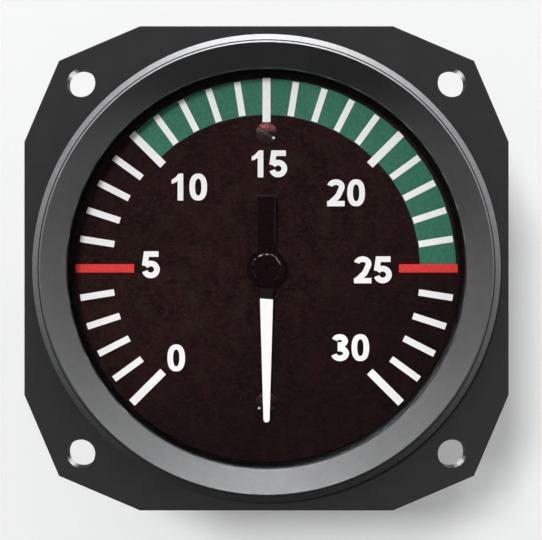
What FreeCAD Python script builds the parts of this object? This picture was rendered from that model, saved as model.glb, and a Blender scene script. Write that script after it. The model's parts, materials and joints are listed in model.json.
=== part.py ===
import FreeCAD, Part
import math
import os
import Sketcher

# A round panel instrument with a square flange: an electric pressure gauge with a crossed-coil
# movement. It is drawn as it lies on the bench, with its dial up: x to the right, y to 12 o'clock,
# z towards the viewer, and z 0 at the back face of the flange, which lies on the panel. Each
# sub-part is then stood upright, so that the finished gauge faces -Y with 12 o'clock at +Z.
# Lengths are millimetres, angles are degrees.

DRIVING_SIZES = {
    # Barrel and flange of the case. The barrel passes the standard 2.25 inch panel hole, and the
    # mounting holes stand outside it on the standard circle of 2.625 inch.
    "barrel_radius": 27.95,
    "barrel_length": 38.0,
    "barrel_wall": 1.4,
    "barrel_front_wall": 1.25,
    "ledge_width": 1.5,
    "ledge_thick": 2.0,
    "boss_inset": 3.95,
    "boss_radius": 3.2,
    "boss_length": 8.0,
    "boss_hole_depth": 5.6,
    "hole_to_barrel": 5.39,
    "hole_radius": 1.8,
    "flange_thick": 3.2,
    "flange_margin": 1.3,
    "flange_corner_margin": 2.825,
    "flange_corner_cut": 10.3,
    "flange_edge_break": 0.15,
    # bezel ring
    "bezel_seat_step": 0.55,
    "bezel_overhang": 2.35,
    "bezel_spigot_wall": 1.45,
    "bezel_height": 3.0,
    "bezel_outer_bevel": 0.8,
    "bezel_groove_width": 0.1,
    "bezel_groove_depth": 0.15,
    "bezel_inner_bevel": 0.25,
    "cone_foot_level": 2.0,
    # glass, gasket, spacer ring and dial
    "glass_level": 0.4,
    "glass_thick": 1.6,
    "glass_edge_break": 0.2,
    "glass_gasket_thick": 0.5,
    "spacer_wall": 1.2,
    "spacer_height": 2.8,
    "dial_thick": 0.8,
    "dial_centre_hole_radius": 1.2,
    "seat_clearance": 0.1,
    "dial_screw_inset": 7.5,
    "dial_screw_radius": 1.0,
    "dial_screw_head_radius": 1.4,
    "dial_screw_head_height": 0.85,
    "dial_screw_length": 9.0,
    "dial_screw_slot_turn": -36.0,
    "screw_crown_share": 0.5,
    "screw_flat_share": 0.2,
    "small_slot_width": 0.36,
    "small_slot_depth": 0.4,
    "pillar_radius": 2.2,
    "pillar_height": 2.5,
    # pointer and its hub
    "pointer_level": -2.8,
    "pointer_thick": 0.35,
    "lance_root": 4.0,
    "lance_tip_inset": 5.3,
    "lance_root_width": 1.7,
    "lance_end_width": 0.8,
    "tail_width": 2.3,
    "tail_length": 9.35,
    "counterweight_start": 3.2,
    "counterweight_thick": 0.6,
    "counterweight_lip": 0.12,
    "hub_radius": 2.55,
    "hub_disc_radius": 1.95,
    "hub_height": 0.55,
    "hub_disc_height": 0.3,
    "hub_skirt_radius": 1.1,
    "hub_skirt_length": 0.7,
    "hub_dimple_radius": 0.35,
    # arbor, stop and bearings
    "arbor_radius": 0.5,
    "arbor_tip_below_glass": 1.2,
    "pivot_radius": 0.2,
    "pivot_length": 0.8,
    "running_clearance": 0.03,
    "pivot_end_play": 0.1,
    "jewel_radius": 1.1,
    "jewel_thick": 1.2,
    "bearing_shank_radius": 0.95,
    "bearing_flange_radius": 2.0,
    "bearing_flange_thick": 0.4,
    "stop_radius": 3.0,
    "stop_arm_width": 0.9,
    "stop_arm_reach": 3.9,
    "stop_arm_thick": 0.7,
    "stop_arm_gap": 0.4,
    "stop_collar_radius": 1.3,
    "stop_free_angle": 40.0,
    "stop_clearance": 0.05,
    "stop_pin_stand": 1.8,
    # movement plate, bobbin, coils and shield
    "plate_thick": 1.2,
    "plate_disc_radius": 10.8,
    "plate_strap_radius": 3.2,
    "bobbin_radius": 9.6,
    "bobbin_half_height": 6.5,
    "core_half_width": 6.2,
    "channel_half_width": 4.0,
    "tower_radius": 1.6,
    "post_place": 5.6,
    "magnet_radius": 4.9,
    "magnet_thick": 3.0,
    "chamber_radius": 5.4,
    "chamber_half_height": 2.0,
    "inner_coil_half_height": 4.0,
    "coil_thick": 1.1,
    "coil_clearance": 0.1,
    "coil_corner": 0.9,
    "movement_screw_radius": 0.8,
    "movement_screw_head_radius": 1.5,
    "movement_screw_head_height": 0.8,
    "movement_screw_length": 5.2,
    "parking_magnet_radius": 0.95,
    "parking_magnet_length": 2.5,
    "can_wall": 0.7,
    "can_pin_hole_radius": 0.9,
    "pin_radius": 0.35,
    "pin_seat": 2.0,
    "pin_stand": 1.6,
    # circuit board and what is on it
    "board_gap": 1.8,
    "board_inset": 3.2,
    "board_thick": 1.6,
    "board_spacer_radius": 2.4,
    "board_spacer_hole_depth": 7.0,
    "board_screw_radius": 1.0,
    "board_screw_head_radius": 2.0,
    "board_screw_head_height": 1.2,
    "board_screw_length": 6.0,
    "chip_end_margin": 0.505,
    "chip_half_width": 1.95,
    "chip_height": 1.5,
    "chip_to_screw": 6.7,
    "chip_lead_pitch": 1.27,
    "chip_lead_width": 0.42,
    "chip_lead_thick": 0.22,
    "chip_lead_reach": 3.0,
    "regulator_x": -10.5,
    "regulator_gap": 1.0,
    "regulator_half_width": 3.25,
    "regulator_half_length": 3.05,
    "regulator_height": 2.3,
    "regulator_tab_thick": 0.5,
    "regulator_tab_length": 1.2,
    "regulator_tab_half_width": 2.6,
    "regulator_tab_under": 1.5,
    "regulator_leg_place": 2.3,
    "regulator_leg_under": 1.0,
    "regulator_leg_width": 0.75,
    "regulator_leg_length": 1.2,
    "capacitor_x": 11.2,
    "capacitor_y": 0.2,
    "capacitor_radius": 2.5,
    "capacitor_height": 5.4,
    "capacitor_base_half": 2.65,
    "capacitor_base_thick": 0.8,
    "resistor_half_length": 1.6,
    "resistor_half_width": 0.8,
    "resistor_thick": 0.55,
    "resistor_x": 5.5,
    "resistor_first_y": 9.4,
    "resistor_pitch": 2.2,
    # trimmers
    "trimmer_angle": 30.0,
    "trimmer_circle_radius": 13.0,
    "trimmer_half_width": 3.3,
    "trimmer_height": 3.4,
    "trimmer_corner": 0.6,
    "trimmer_rotor_radius": 1.85,
    "trimmer_rotor_sink": 1.8,
    "trimmer_rotor_stand": 0.3,
    "trimmer_clearance": 0.05,
    "trimmer_slot_width": 0.6,
    "trimmer_slot_depth": 0.8,
    "trimmer_hole_radius": 2.2,
    # rear cover, its gasket and screws
    "cover_gasket_thick": 0.5,
    "cover_gasket_ear_radius": 3.0,
    "cover_thick": 2.4,
    "cover_edge_break": 0.6,
    "cover_screw_radius": 1.2,
    "cover_screw_head_radius": 2.3,
    "cover_screw_head_height": 1.5,
    "cover_screw_length": 8.0,
    "cover_screw_play": 0.3,
    "wide_slot_width": 0.7,
    "wide_slot_depth": 0.7,
    "screw_clearance": 0.05,
    # terminals
    "stud_circle_radius": 13.0,
    "stud_first_angle": 90.0,
    "stud_radius": 2.08,
    "stud_shank_radius": 1.88,
    "stud_thread_gap": 0.3,
    "stud_stand": 13.1,
    "stud_head_radius": 3.6,
    "stud_head_height": 2.0,
    "stud_end_break": 0.4,
    "bushing_radius": 2.95,
    "bushing_flange_radius": 4.2,
    "bushing_flange_thick": 1.0,
    "lug_radius": 3.6,
    "lug_thick": 0.5,
    "lug_tail_half_width": 1.2,
    "lug_tail_length": 6.4,
    "washer_radius": 4.4,
    "washer_thick": 0.8,
    "nut_corner_radius": 4.9,
    "nut_thick": 3.2,
    "nut_corner_break": 0.45,
    # lead wires
    "wire_radius": 0.6,
    "wire_bend_radius": 2.0,
    "wire_lying_length": 1.8,
    "wire_end_gap": 0.6,
}

STUD_COUNT = 3
COVER_SCREW_COUNT = 4
CHIP_LEADS_PER_SIDE = 8
RESISTORS_PER_SIDE = 3
HEX_SIDES = 6
FULL_TURN = 360
QUARTER_TURN = 90
CORNER_ANGLE = 45

document = FreeCAD.newDocument("pressure_gauge")
sheet = document.addObject("Spreadsheet::Sheet", "Sizes")


class Size:
    """A length or an angle: what it comes to, and the formula that gets it from the sheet."""

    def __init__(self, value, formula):
        self.value = value
        self.formula = formula

    def joined(self, other, sign, value):
        return Size(value, "(%s %s %s)" % (self.formula, sign, other.formula))

    def __add__(self, other):
        other = as_size(other)
        return self.joined(other, "+", self.value + other.value)

    def __sub__(self, other):
        other = as_size(other)
        return self.joined(other, "-", self.value - other.value)

    def __mul__(self, other):
        other = as_size(other)
        return self.joined(other, "*", self.value * other.value)

    def __truediv__(self, other):
        other = as_size(other)
        return self.joined(other, "/", self.value / other.value)

    def __neg__(self):
        return as_size(0) - self


def as_size(number):
    if isinstance(number, Size):
        return number
    return Size(float(number), "(%.9g)" % number)


def cosine(angle):
    return Size(math.cos(math.radians(angle.value)), "cos(%s)" % angle.formula)


def sine(angle):
    return Size(math.sin(math.radians(angle.value)), "sin(%s)" % angle.formula)


class SizeTable:
    """The driving sizes, each read by its name and backed by its own cell of the sheet."""

    def __init__(self, values):
        for row, (name, value) in enumerate(values.items(), start=1):
            sheet.set("A%d" % row, name)
            sheet.set("B%d" % row, str(value))
            sheet.setAlias("B%d" % row, name)
            setattr(self, name, Size(float(value), "Sizes." + name))


s = SizeTable(DRIVING_SIZES)
document.recompute()

# Levels along the axis, from the front of the bezel to the tips of the terminals.
flange_front = s.flange_thick
bezel_front = flange_front + s.bezel_height
gasket_front = s.glass_level + s.glass_gasket_thick
glass_back = s.glass_level - s.glass_thick
dial_front = glass_back - s.spacer_height
ledge_level = dial_front - s.dial_thick
plate_front = ledge_level - s.pillar_height
plate_back = plate_front - s.plate_thick
movement_middle = plate_back - s.bobbin_half_height
bobbin_back = movement_middle - s.bobbin_half_height
can_back = bobbin_back - s.can_wall
board_front = can_back - s.board_gap
board_back = board_front - s.board_thick
barrel_back = -s.barrel_length
cover_front = barrel_back - s.cover_gasket_thick
cover_back = cover_front - s.cover_thick
bushing_front = cover_front + s.bushing_flange_thick
lug_front = bushing_front + s.lug_thick
insulator_back = cover_back - s.bushing_flange_thick
washer_back = insulator_back - s.washer_thick
nut_back = washer_back - s.nut_thick
stud_tip = cover_back - s.stud_stand

# Radii from the barrel inwards and outwards, and other sizes that sub-parts share.
case_bore_radius = s.barrel_radius - s.barrel_front_wall
seated_radius = case_bore_radius - s.seat_clearance
ledge_radius = case_bore_radius - s.ledge_width
boss_circle_radius = s.barrel_radius - s.boss_inset
bezel_seat_radius = case_bore_radius + s.bezel_seat_step
bezel_spigot_radius = bezel_seat_radius - s.seat_clearance
bezel_radius = bezel_spigot_radius + s.bezel_overhang
cone_inner_radius = bezel_spigot_radius - s.bezel_spigot_wall
spacer_inner_radius = seated_radius - s.spacer_wall
hole_place = (s.barrel_radius + s.hole_to_barrel) * math.sqrt(0.5)
dial_screw_place = ledge_radius - s.dial_screw_inset
dial_screw_hole = s.dial_screw_radius + s.screw_clearance
pin_hole = s.pin_radius + s.screw_clearance
stud_hole = s.stud_radius + s.screw_clearance
post_circle_radius = s.post_place * math.sqrt(2)
outer_coil_half_height = s.inner_coil_half_height + s.coil_thick + s.coil_clearance
trimmer_x = s.trimmer_circle_radius * cosine(s.trimmer_angle)
trimmer_y = s.trimmer_circle_radius * sine(s.trimmer_angle)


def bind(thing, name, size):
    size = as_size(size)
    setattr(thing, name, size.value)
    thing.setExpression(name, size.formula)


class Drawing:
    """A sketch on one of the body's own planes, every point of it held by the sheet."""

    def __init__(self, body, name, plane="XY_Plane", level=0):
        self.sketch = body.newObject("Sketcher::SketchObject", name)
        support = [face for face in body.Origin.OriginFeatures if face.Role == plane][0]
        self.sketch.AttachmentSupport = [(support, "")]
        self.sketch.MapMode = "FlatFace"
        level = as_size(level)
        place = FreeCAD.Vector(0, 0, level.value)
        self.sketch.AttachmentOffset = FreeCAD.Placement(place, FreeCAD.Rotation())
        self.sketch.setExpression(".AttachmentOffset.Base.z", level.formula)

    def hold(self, kind, size, *elements):
        size = as_size(size)
        index = self.sketch.addConstraint(Sketcher.Constraint(kind, *elements, size.value))
        self.sketch.setExpression("Constraints[%d]" % index, size.formula)

    def hold_point(self, geometry, end, point):
        self.hold("DistanceX", point[0], -1, 1, geometry, end)
        self.hold("DistanceY", point[1], -1, 1, geometry, end)

    def outline(self, points, closed=True):
        """Runs from point to point. A third number on a point is the radius of the arc that leads
        to it: above 0 it turns left about its centre, below 0 it turns right."""
        corners = [tuple(as_size(number) for number in point) for point in points]
        vectors = [FreeCAD.Vector(corner[0].value, corner[1].value, 0) for corner in corners]
        runs = range(len(corners)) if closed else range(len(corners) - 1)
        first = last = None
        for index in runs:
            following = (index + 1) % len(corners)
            target = corners[following]
            if len(target) == 3:
                edge, start, end = self.arc(vectors[index], vectors[following], target[2])
            else:
                edge = self.sketch.addGeometry(Part.LineSegment(vectors[index], vectors[following]), False)
                start, end = 1, 2
            self.hold_point(edge, start, corners[index])
            if last:
                self.sketch.addConstraint(Sketcher.Constraint("Coincident", last[0], last[1], edge, start))
            first = first or (edge, start)
            last = (edge, end)
        if closed:
            meeting = Sketcher.Constraint("Coincident", last[0], last[1], first[0], first[1])
            self.sketch.addConstraint(meeting)
        else:
            self.hold_point(last[0], last[1], corners[-1])

    def arc(self, start, end, radius):
        chord = end - start
        side = FreeCAD.Vector(-chord.y, chord.x, 0).normalize()
        rise = math.sqrt(max(radius.value ** 2 - chord.Length ** 2 / 4, 0))
        centre = (start + end) / 2 + side * math.copysign(rise, radius.value)
        circle = Part.Circle(centre, FreeCAD.Vector(0, 0, 1), abs(radius.value))
        left = radius.value > 0
        begin, finish = (start, end) if left else (end, start)
        angles = [math.atan2(point.y - centre.y, point.x - centre.x) for point in (begin, finish)]
        edge = self.sketch.addGeometry(Part.ArcOfCircle(circle, angles[0], angles[1]), False)
        self.hold("Radius", radius if left else -radius, edge)
        return (edge, 1, 2) if left else (edge, 2, 1)

    def circle(self, x, y, radius):
        x, y, radius = as_size(x), as_size(y), as_size(radius)
        centre = FreeCAD.Vector(x.value, y.value, 0)
        edge = self.sketch.addGeometry(Part.Circle(centre, FreeCAD.Vector(0, 0, 1), radius.value), False)
        self.hold_point(edge, 3, (x, y))
        self.hold("Radius", radius, edge)

    def rectangle(self, left, low, right, high):
        self.outline([(left, low), (right, low), (right, high), (left, high)])

    def polygon(self, x, y, corner_radius, count):
        step = FULL_TURN / count
        angles = [math.radians(step * index) for index in range(count)]
        self.outline([(corner_radius * math.cos(a) + x, corner_radius * math.sin(a) + y) for a in angles])

    def axis_at(self, x):
        """A construction line along the axis of a turned piece that stands beside the middle."""
        x = as_size(x)
        ends = [FreeCAD.Vector(x.value, 0, 0), FreeCAD.Vector(x.value, 1, 0)]
        edge = self.sketch.addGeometry(Part.LineSegment(*ends), True)
        self.hold_point(edge, 1, (x, 0))
        self.hold_point(edge, 2, (x, 1))


def new_body(label):
    body = document.addObject("PartDesign::Body", label)
    body.Label = label
    return body


def feature(body, kind, name, drawing):
    added = body.newObject("PartDesign::" + kind, name)
    added.Profile = drawing.sketch
    drawing.sketch.Visibility = False
    return added


def pad(body, name, draw, low, high):
    """Adds what draw draws, from the level low up to the level high."""
    drawing = Drawing(body, name + "_outline", "XY_Plane", low)
    draw(drawing)
    added = feature(body, "Pad", name, drawing)
    bind(added, "Length", as_size(high) - low)
    return added


def cut(body, name, draw, low, high):
    """Takes away what draw draws, from the level high down to the level low."""
    drawing = Drawing(body, name + "_outline", "XY_Plane", high)
    draw(drawing)
    taken = feature(body, "Pocket", name, drawing)
    bind(taken, "Length", as_size(high) - low)
    return taken


def turned(body, name, points, x=None, kind="Revolution"):
    """Turns an outline of radius and level about the middle, or about an axis at x."""
    drawing = Drawing(body, name + "_profile", "XZ_Plane")
    if x is None:
        drawing.outline(points)
        axis = "V_Axis"
    else:
        drawing.outline([(as_size(point[0]) + x,) + tuple(point[1:]) for point in points])
        drawing.axis_at(x)
        axis = "Axis0"
    added = feature(body, kind, name, drawing)
    added.ReferenceAxis = (drawing.sketch, [axis])
    added.Angle = FULL_TURN
    return added


def repeated(body, name, originals, count):
    """Repeats features round the middle and makes them the body's result."""
    pattern = body.newObject("PartDesign::PolarPattern", name)
    pattern.Originals = originals
    middle = [line for line in body.Origin.OriginFeatures if line.Role == "Z_Axis"][0]
    pattern.Axis = (middle, [""])
    pattern.Angle = FULL_TURN
    pattern.Occurrences = count
    body.Tip = pattern
    return pattern


def mirrored(body, name, originals, plane):
    mirror = body.newObject("PartDesign::Mirrored", name)
    mirror.Originals = originals
    support = [face for face in body.Origin.OriginFeatures if face.Role == plane][0]
    mirror.MirrorPlane = (support, [""])
    body.Tip = mirror
    return mirror


def in_line(body, name, originals, axis, pitch, count):
    pattern = body.newObject("PartDesign::LinearPattern", name)
    pattern.Originals = originals
    line = [line for line in body.Origin.OriginFeatures if line.Role == axis][0]
    pattern.Direction = (line, [""])
    bind(pattern, "Length", pitch * (count - 1))
    pattern.Occurrences = count
    body.Tip = pattern
    return pattern


def edge_break(body, name, base, size, belongs):
    """Chamfers the edges of base for which belongs is true."""
    document.recompute()
    names = ["Edge%d" % (index + 1) for index, edge in enumerate(base.Shape.Edges) if belongs(edge)]
    chamfer = body.newObject("PartDesign::Chamfer", name)
    chamfer.Base = (base, names)
    bind(chamfer, "Size", size)
    return chamfer


def at_level(edge, level):
    box = edge.BoundBox
    return abs(box.ZMin - level.value) < 1e-4 and abs(box.ZMax - level.value) < 1e-4


def place(body, x=0, y=0, turn=0):
    """Stands a body upright, after turning it about its own axis and moving it across the dial."""
    x, y = as_size(x), as_size(y)
    upright = FreeCAD.Rotation(FreeCAD.Vector(1, 0, 0), 90)
    about_axis = FreeCAD.Rotation(FreeCAD.Vector(0, 0, 1), as_size(turn).value)
    body.Placement = FreeCAD.Placement(FreeCAD.Vector(x.value, 0, y.value), upright * about_axis)
    body.setExpression(".Placement.Base.x", x.formula)
    body.setExpression(".Placement.Base.z", y.formula)
    return body


def round_disc(radius, hole=None, x=0):
    def draw(drawing):
        drawing.circle(x, 0, radius)
        if hole is not None:
            drawing.circle(x, 0, hole)
    return draw


def circles_at(places, radius, hole=None):
    def draw(drawing):
        for x, y in places:
            drawing.circle(x, y, radius)
            if hole is not None:
                drawing.circle(x, y, hole)
    return draw


def round_the_middle(radius, first_angle, count):
    angles = [as_size(first_angle) + FULL_TURN / count * index for index in range(count)]
    return [(radius * cosine(angle), radius * sine(angle)) for angle in angles]


dial_screw_places = [(0, dial_screw_place), (0, -dial_screw_place)]
post_places = [(s.post_place * across, s.post_place * up) for across in (1, -1) for up in (1, -1)]
stud_places = round_the_middle(s.stud_circle_radius, s.stud_first_angle, STUD_COUNT)
cover_screw_places = round_the_middle(boss_circle_radius, CORNER_ANGLE, COVER_SCREW_COUNT)


def make_case_body():
    """Twelve-sided flange with four holes, and the barrel with its stepped bore and rear bosses."""
    body = new_body("case_body")
    wide = bezel_radius + s.flange_margin
    corner = hole_place + s.flange_corner_margin
    flat = corner - s.flange_corner_cut
    quarter = [(wide, flat), (corner, corner), (flat, wide)]
    across = [(-x, y) for x, y in reversed(quarter)]
    upper = quarter + across
    lower = [(-x, -y) for x, y in upper]
    flange = pad(body, "flange", lambda drawing: drawing.outline(upper + lower), 0, flange_front)

    def is_flange_rim(edge):
        reach = max(abs(value) for value in (edge.BoundBox.XMin, edge.BoundBox.YMin))
        return at_level(edge, flange_front) and reach > flat.value - 1
    edge_break(body, "flange_edge", flange, s.flange_edge_break, is_flange_rim)
    pad(body, "barrel", round_disc(s.barrel_radius), barrel_back, 0)
    rear_bore = s.barrel_radius - s.barrel_wall
    ledge_back = ledge_level - s.ledge_thick
    turned(body, "bore", [
        (0, flange_front + 1),
        (bezel_seat_radius, flange_front + 1),
        (bezel_seat_radius, s.glass_level),
        (case_bore_radius, s.glass_level),
        (case_bore_radius, ledge_level),
        (ledge_radius, ledge_level),
        (ledge_radius, ledge_back),
        (rear_bore, ledge_back),
        (rear_bore, barrel_back - 1),
        (0, barrel_back - 1),
    ], kind="Groove")
    boss_front = barrel_back + s.boss_length
    pad(body, "rear_bosses", circles_at(cover_screw_places, s.boss_radius), barrel_back, boss_front)
    tapped = s.cover_screw_radius + s.screw_clearance
    hole_floor = barrel_back + s.boss_hole_depth
    cut(body, "boss_holes", circles_at(cover_screw_places, tapped), barrel_back, hole_floor)
    corners = [(hole_place * x, hole_place * y) for x in (1, -1) for y in (1, -1)]
    cut(body, "mounting_holes", circles_at(corners, s.hole_radius), 0, flange_front)
    return place(body)


def make_bezel_ring():
    """Turned ring: a wide and a narrow bevel with a fine groove between them, a cone down to the
    glass, and a spigot in the case."""
    body = new_body("bezel_ring")
    groove_outer = bezel_radius - s.bezel_outer_bevel
    groove_inner = groove_outer - s.bezel_groove_width
    groove_level = bezel_front - s.bezel_inner_bevel
    groove_floor = groove_level - s.bezel_groove_depth
    turned(body, "ring", [
        (cone_inner_radius, gasket_front),
        (bezel_spigot_radius, gasket_front),
        (bezel_spigot_radius, flange_front),
        (bezel_radius, flange_front),
        (bezel_radius, groove_level - s.bezel_outer_bevel),
        (groove_outer, groove_level),
        (groove_outer, groove_floor),
        (groove_inner, groove_floor),
        (groove_inner, groove_level),
        (groove_inner - s.bezel_inner_bevel, bezel_front),
        (cone_inner_radius, s.cone_foot_level),
    ])
    return place(body)


def make_ring(label, outer, inner, low, high):
    body = new_body(label)
    pad(body, label + "_band", round_disc(outer, inner), low, high)
    return place(body)


def make_cover_glass():
    body = new_body("cover_glass")
    disc = pad(body, "disc", round_disc(seated_radius), glass_back, s.glass_level)
    edge_break(body, "rim", disc, s.glass_edge_break, lambda edge: len(edge.Vertexes) == 1)
    return place(body)


def make_dial():
    body = new_body("dial")
    pad(body, "disc", round_disc(seated_radius, s.dial_centre_hole_radius), ledge_level, dial_front)
    cut(body, "screw_holes", circles_at(dial_screw_places, dial_screw_hole), ledge_level, dial_front)
    return place(body)


def screw_profile(head_radius, head_height, shank_radius, length, seat, way):
    """Half outline of a domed screw: its head stands on the level seat, on the side of way, and
    the shank runs the other way."""
    crown = head_height * s.screw_crown_share
    reach = head_radius * s.screw_flat_share
    tip = seat - length * way
    return [
        (0, tip),
        (shank_radius, tip),
        (shank_radius, seat),
        (head_radius, seat),
        (head_radius, seat + (head_height - crown) * way),
        (reach, seat + head_height * way),
        (0, seat + head_height * way),
    ]


def make_screws(label, circle_radius, count, head, shank, seat, way, slot, turn=0, slot_turn=None):
    """Equal slotted screws round the middle. head, shank and slot are each two sizes."""
    body = new_body(label)
    profile = screw_profile(head[0], head[1], shank[0], shank[1], seat, way)
    if way < 0:
        profile = [profile[0]] + profile[:0:-1]
    screw = turned(body, "screw", profile, circle_radius)
    top = as_size(seat) + head[1] * way
    angle = math.radians(as_size(slot_turn if slot_turn is not None else 0).value)
    along = (math.cos(angle), math.sin(angle))
    across = (-along[1], along[0])
    half_length = head[0] + slot[0]
    half_width = slot[0] / 2

    def draw_slot(drawing):
        ends = [(1, -1), (1, 1), (-1, 1), (-1, -1)]
        drawing.outline([
            (half_length * (along[0] * a) + half_width * (across[0] * b) + circle_radius,
             half_length * (along[1] * a) + half_width * (across[1] * b))
            for a, b in ends])
    groove = cut(body, "slot", draw_slot, top - slot[1], top + slot[1])
    repeated(body, "all_screws", [screw, groove], count)
    return place(body, turn=turn)


def make_dial_pillars():
    body = new_body("dial_pillars")
    draw = circles_at(dial_screw_places, s.pillar_radius, dial_screw_hole)
    pad(body, "pillars", draw, plate_front, ledge_level)
    return place(body)


def make_pointer():
    """One thin plate: white lance down, hub ring, and the tail up."""
    body = new_body("pointer")
    half_root, half_end = s.lance_root_width / 2, s.lance_end_width / 2
    tip_centre = half_end - (spacer_inner_radius - s.lance_tip_inset)
    half_tail = s.tail_width / 2
    low, high = s.pointer_level, s.pointer_level + s.pointer_thick
    pad(body, "hub_ring", round_disc(s.hub_radius - s.seat_clearance), low, high)
    pad(body, "lance", lambda drawing: drawing.outline([
        (-half_root, 0),
        (-half_root, -s.lance_root),
        (-half_end, tip_centre),
        (half_end, tip_centre),
        (half_root, -s.lance_root),
        (half_root, 0),
    ]), low, high)
    pad(body, "lance_end", circles_at([(0, tip_centre)], half_end), low, high)
    pad(body, "tail", lambda drawing: drawing.rectangle(-half_tail, 0, half_tail, s.tail_length), low, high)
    cut(body, "arbor_hole", round_disc(s.hub_skirt_radius), low, high)
    return place(body)


def make_counterweight():
    """Bar on the pointer's tail, with its outer end lipped down over the plate's end."""
    body = new_body("counterweight")
    top = s.pointer_level + s.pointer_thick
    half = s.tail_width / 2
    end = s.tail_length + s.counterweight_lip
    start = s.counterweight_start
    pad(body, "bar", lambda drawing: drawing.rectangle(-half, start, half, end), top,
        top + s.counterweight_thick)
    pad(body, "lip", lambda drawing: drawing.rectangle(-half, s.tail_length, half, end),
        s.pointer_level, top)
    return place(body)


def make_pointer_hub():
    """Cap with a raised disc and a dimple, and a skirt that grips the arbor."""
    body = new_body("pointer_hub")
    plate_top = s.pointer_level + s.pointer_thick
    step = plate_top + s.hub_height
    top = step + s.hub_disc_height
    arbor_tip = glass_back - s.arbor_tip_below_glass
    round_edge = s.hub_disc_height / 2
    turned(body, "cap", [
        (0, arbor_tip),
        (s.arbor_radius, arbor_tip),
        (s.arbor_radius, s.pointer_level - s.hub_skirt_length),
        (s.hub_skirt_radius, s.pointer_level - s.hub_skirt_length),
        (s.hub_skirt_radius, plate_top),
        (s.hub_radius, plate_top),
        (s.hub_radius, step - round_edge),
        (s.hub_radius - round_edge, step),
        (s.hub_disc_radius, step),
        (s.hub_disc_radius - round_edge, top),
        (s.hub_dimple_radius, top),
        (0, top - s.hub_dimple_radius),
    ])
    return place(body)


def make_arbor():
    """Steel shaft with a fine pivot at its back end."""
    body = new_body("arbor")
    jewel_front = bobbin_back + s.pivot_end_play + s.jewel_thick
    shoulder = jewel_front + s.pivot_end_play
    turned(body, "shaft", [
        (0, shoulder - s.pivot_length),
        (s.pivot_radius, shoulder - s.pivot_length),
        (s.pivot_radius, shoulder),
        (s.arbor_radius, shoulder),
        (s.arbor_radius, glass_back - s.arbor_tip_below_glass),
        (0, glass_back - s.arbor_tip_below_glass),
    ])
    return place(body)


def make_front_bearing():
    body = new_body("front_bearing")
    bore = s.arbor_radius + s.running_clearance
    foot = movement_middle + s.chamber_half_height + s.seat_clearance
    turned(body, "bush", [
        (bore, foot),
        (s.bearing_shank_radius, foot),
        (s.bearing_shank_radius, plate_front),
        (s.bearing_flange_radius, plate_front),
        (s.bearing_flange_radius, plate_front + s.bearing_flange_thick),
        (bore, plate_front + s.bearing_flange_thick),
    ])
    return place(body)


def make_rear_jewel():
    body = new_body("rear_jewel")
    back = bobbin_back + s.pivot_end_play
    front = back + s.jewel_thick
    hole = s.pivot_radius + s.running_clearance
    floor = front - s.pivot_length
    turned(body, "cup", [
        (0, back),
        (s.jewel_radius, back),
        (s.jewel_radius, front),
        (hole, front),
        (hole, floor),
        (0, floor),
    ])
    return place(body)


def make_stop_arm():
    body = new_body("stop_arm")
    low = plate_front + s.bearing_flange_thick + s.stop_arm_gap
    high = low + s.stop_arm_thick
    half = s.stop_arm_width / 2
    pad(body, "collar", round_disc(s.stop_collar_radius), low, high)
    pad(body, "arm", lambda drawing: drawing.rectangle(-half, -s.stop_arm_reach, half, 0), low, high)
    cut(body, "arbor_hole", round_disc(s.arbor_radius), low, high)
    return place(body)


def make_stop_pin():
    """Pin in the plate, as wide as leaves the arm its travel and the clearance at both ends."""
    body = new_body("stop_pin")
    half_free = s.stop_free_angle / 2
    radius = s.stop_radius * sine(half_free) - s.stop_arm_width / 2 - s.stop_clearance
    x = s.stop_radius * sine(half_free)
    y = -s.stop_radius * cosine(half_free)
    draw = circles_at([(x, y)], radius)
    pad(body, "pin", draw, plate_front, plate_front + s.stop_pin_stand)
    return place(body)


def make_movement_plate():
    """Disc over the bobbin with a strap up and down to the dial pillars."""
    body = new_body("movement_plate")
    reach, half = dial_screw_place, s.plate_strap_radius
    pad(body, "disc", round_disc(s.plate_disc_radius), plate_back, plate_front)
    pad(body, "strap", lambda drawing: drawing.rectangle(-half, -reach, half, reach),
        plate_back, plate_front)
    pad(body, "strap_ends", circles_at(dial_screw_places, half), plate_back, plate_front)
    cut(body, "bearing_hole", round_disc(s.bearing_shank_radius), plate_back, plate_front)
    cut(body, "pillar_holes", circles_at(dial_screw_places, dial_screw_hole), plate_back, plate_front)
    places = [(-s.post_place, s.post_place), (s.post_place, -s.post_place)]
    hole = s.movement_screw_radius + s.screw_clearance
    cut(body, "movement_screw_holes", circles_at(places, hole), plate_back, plate_front)
    return place(body)


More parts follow.
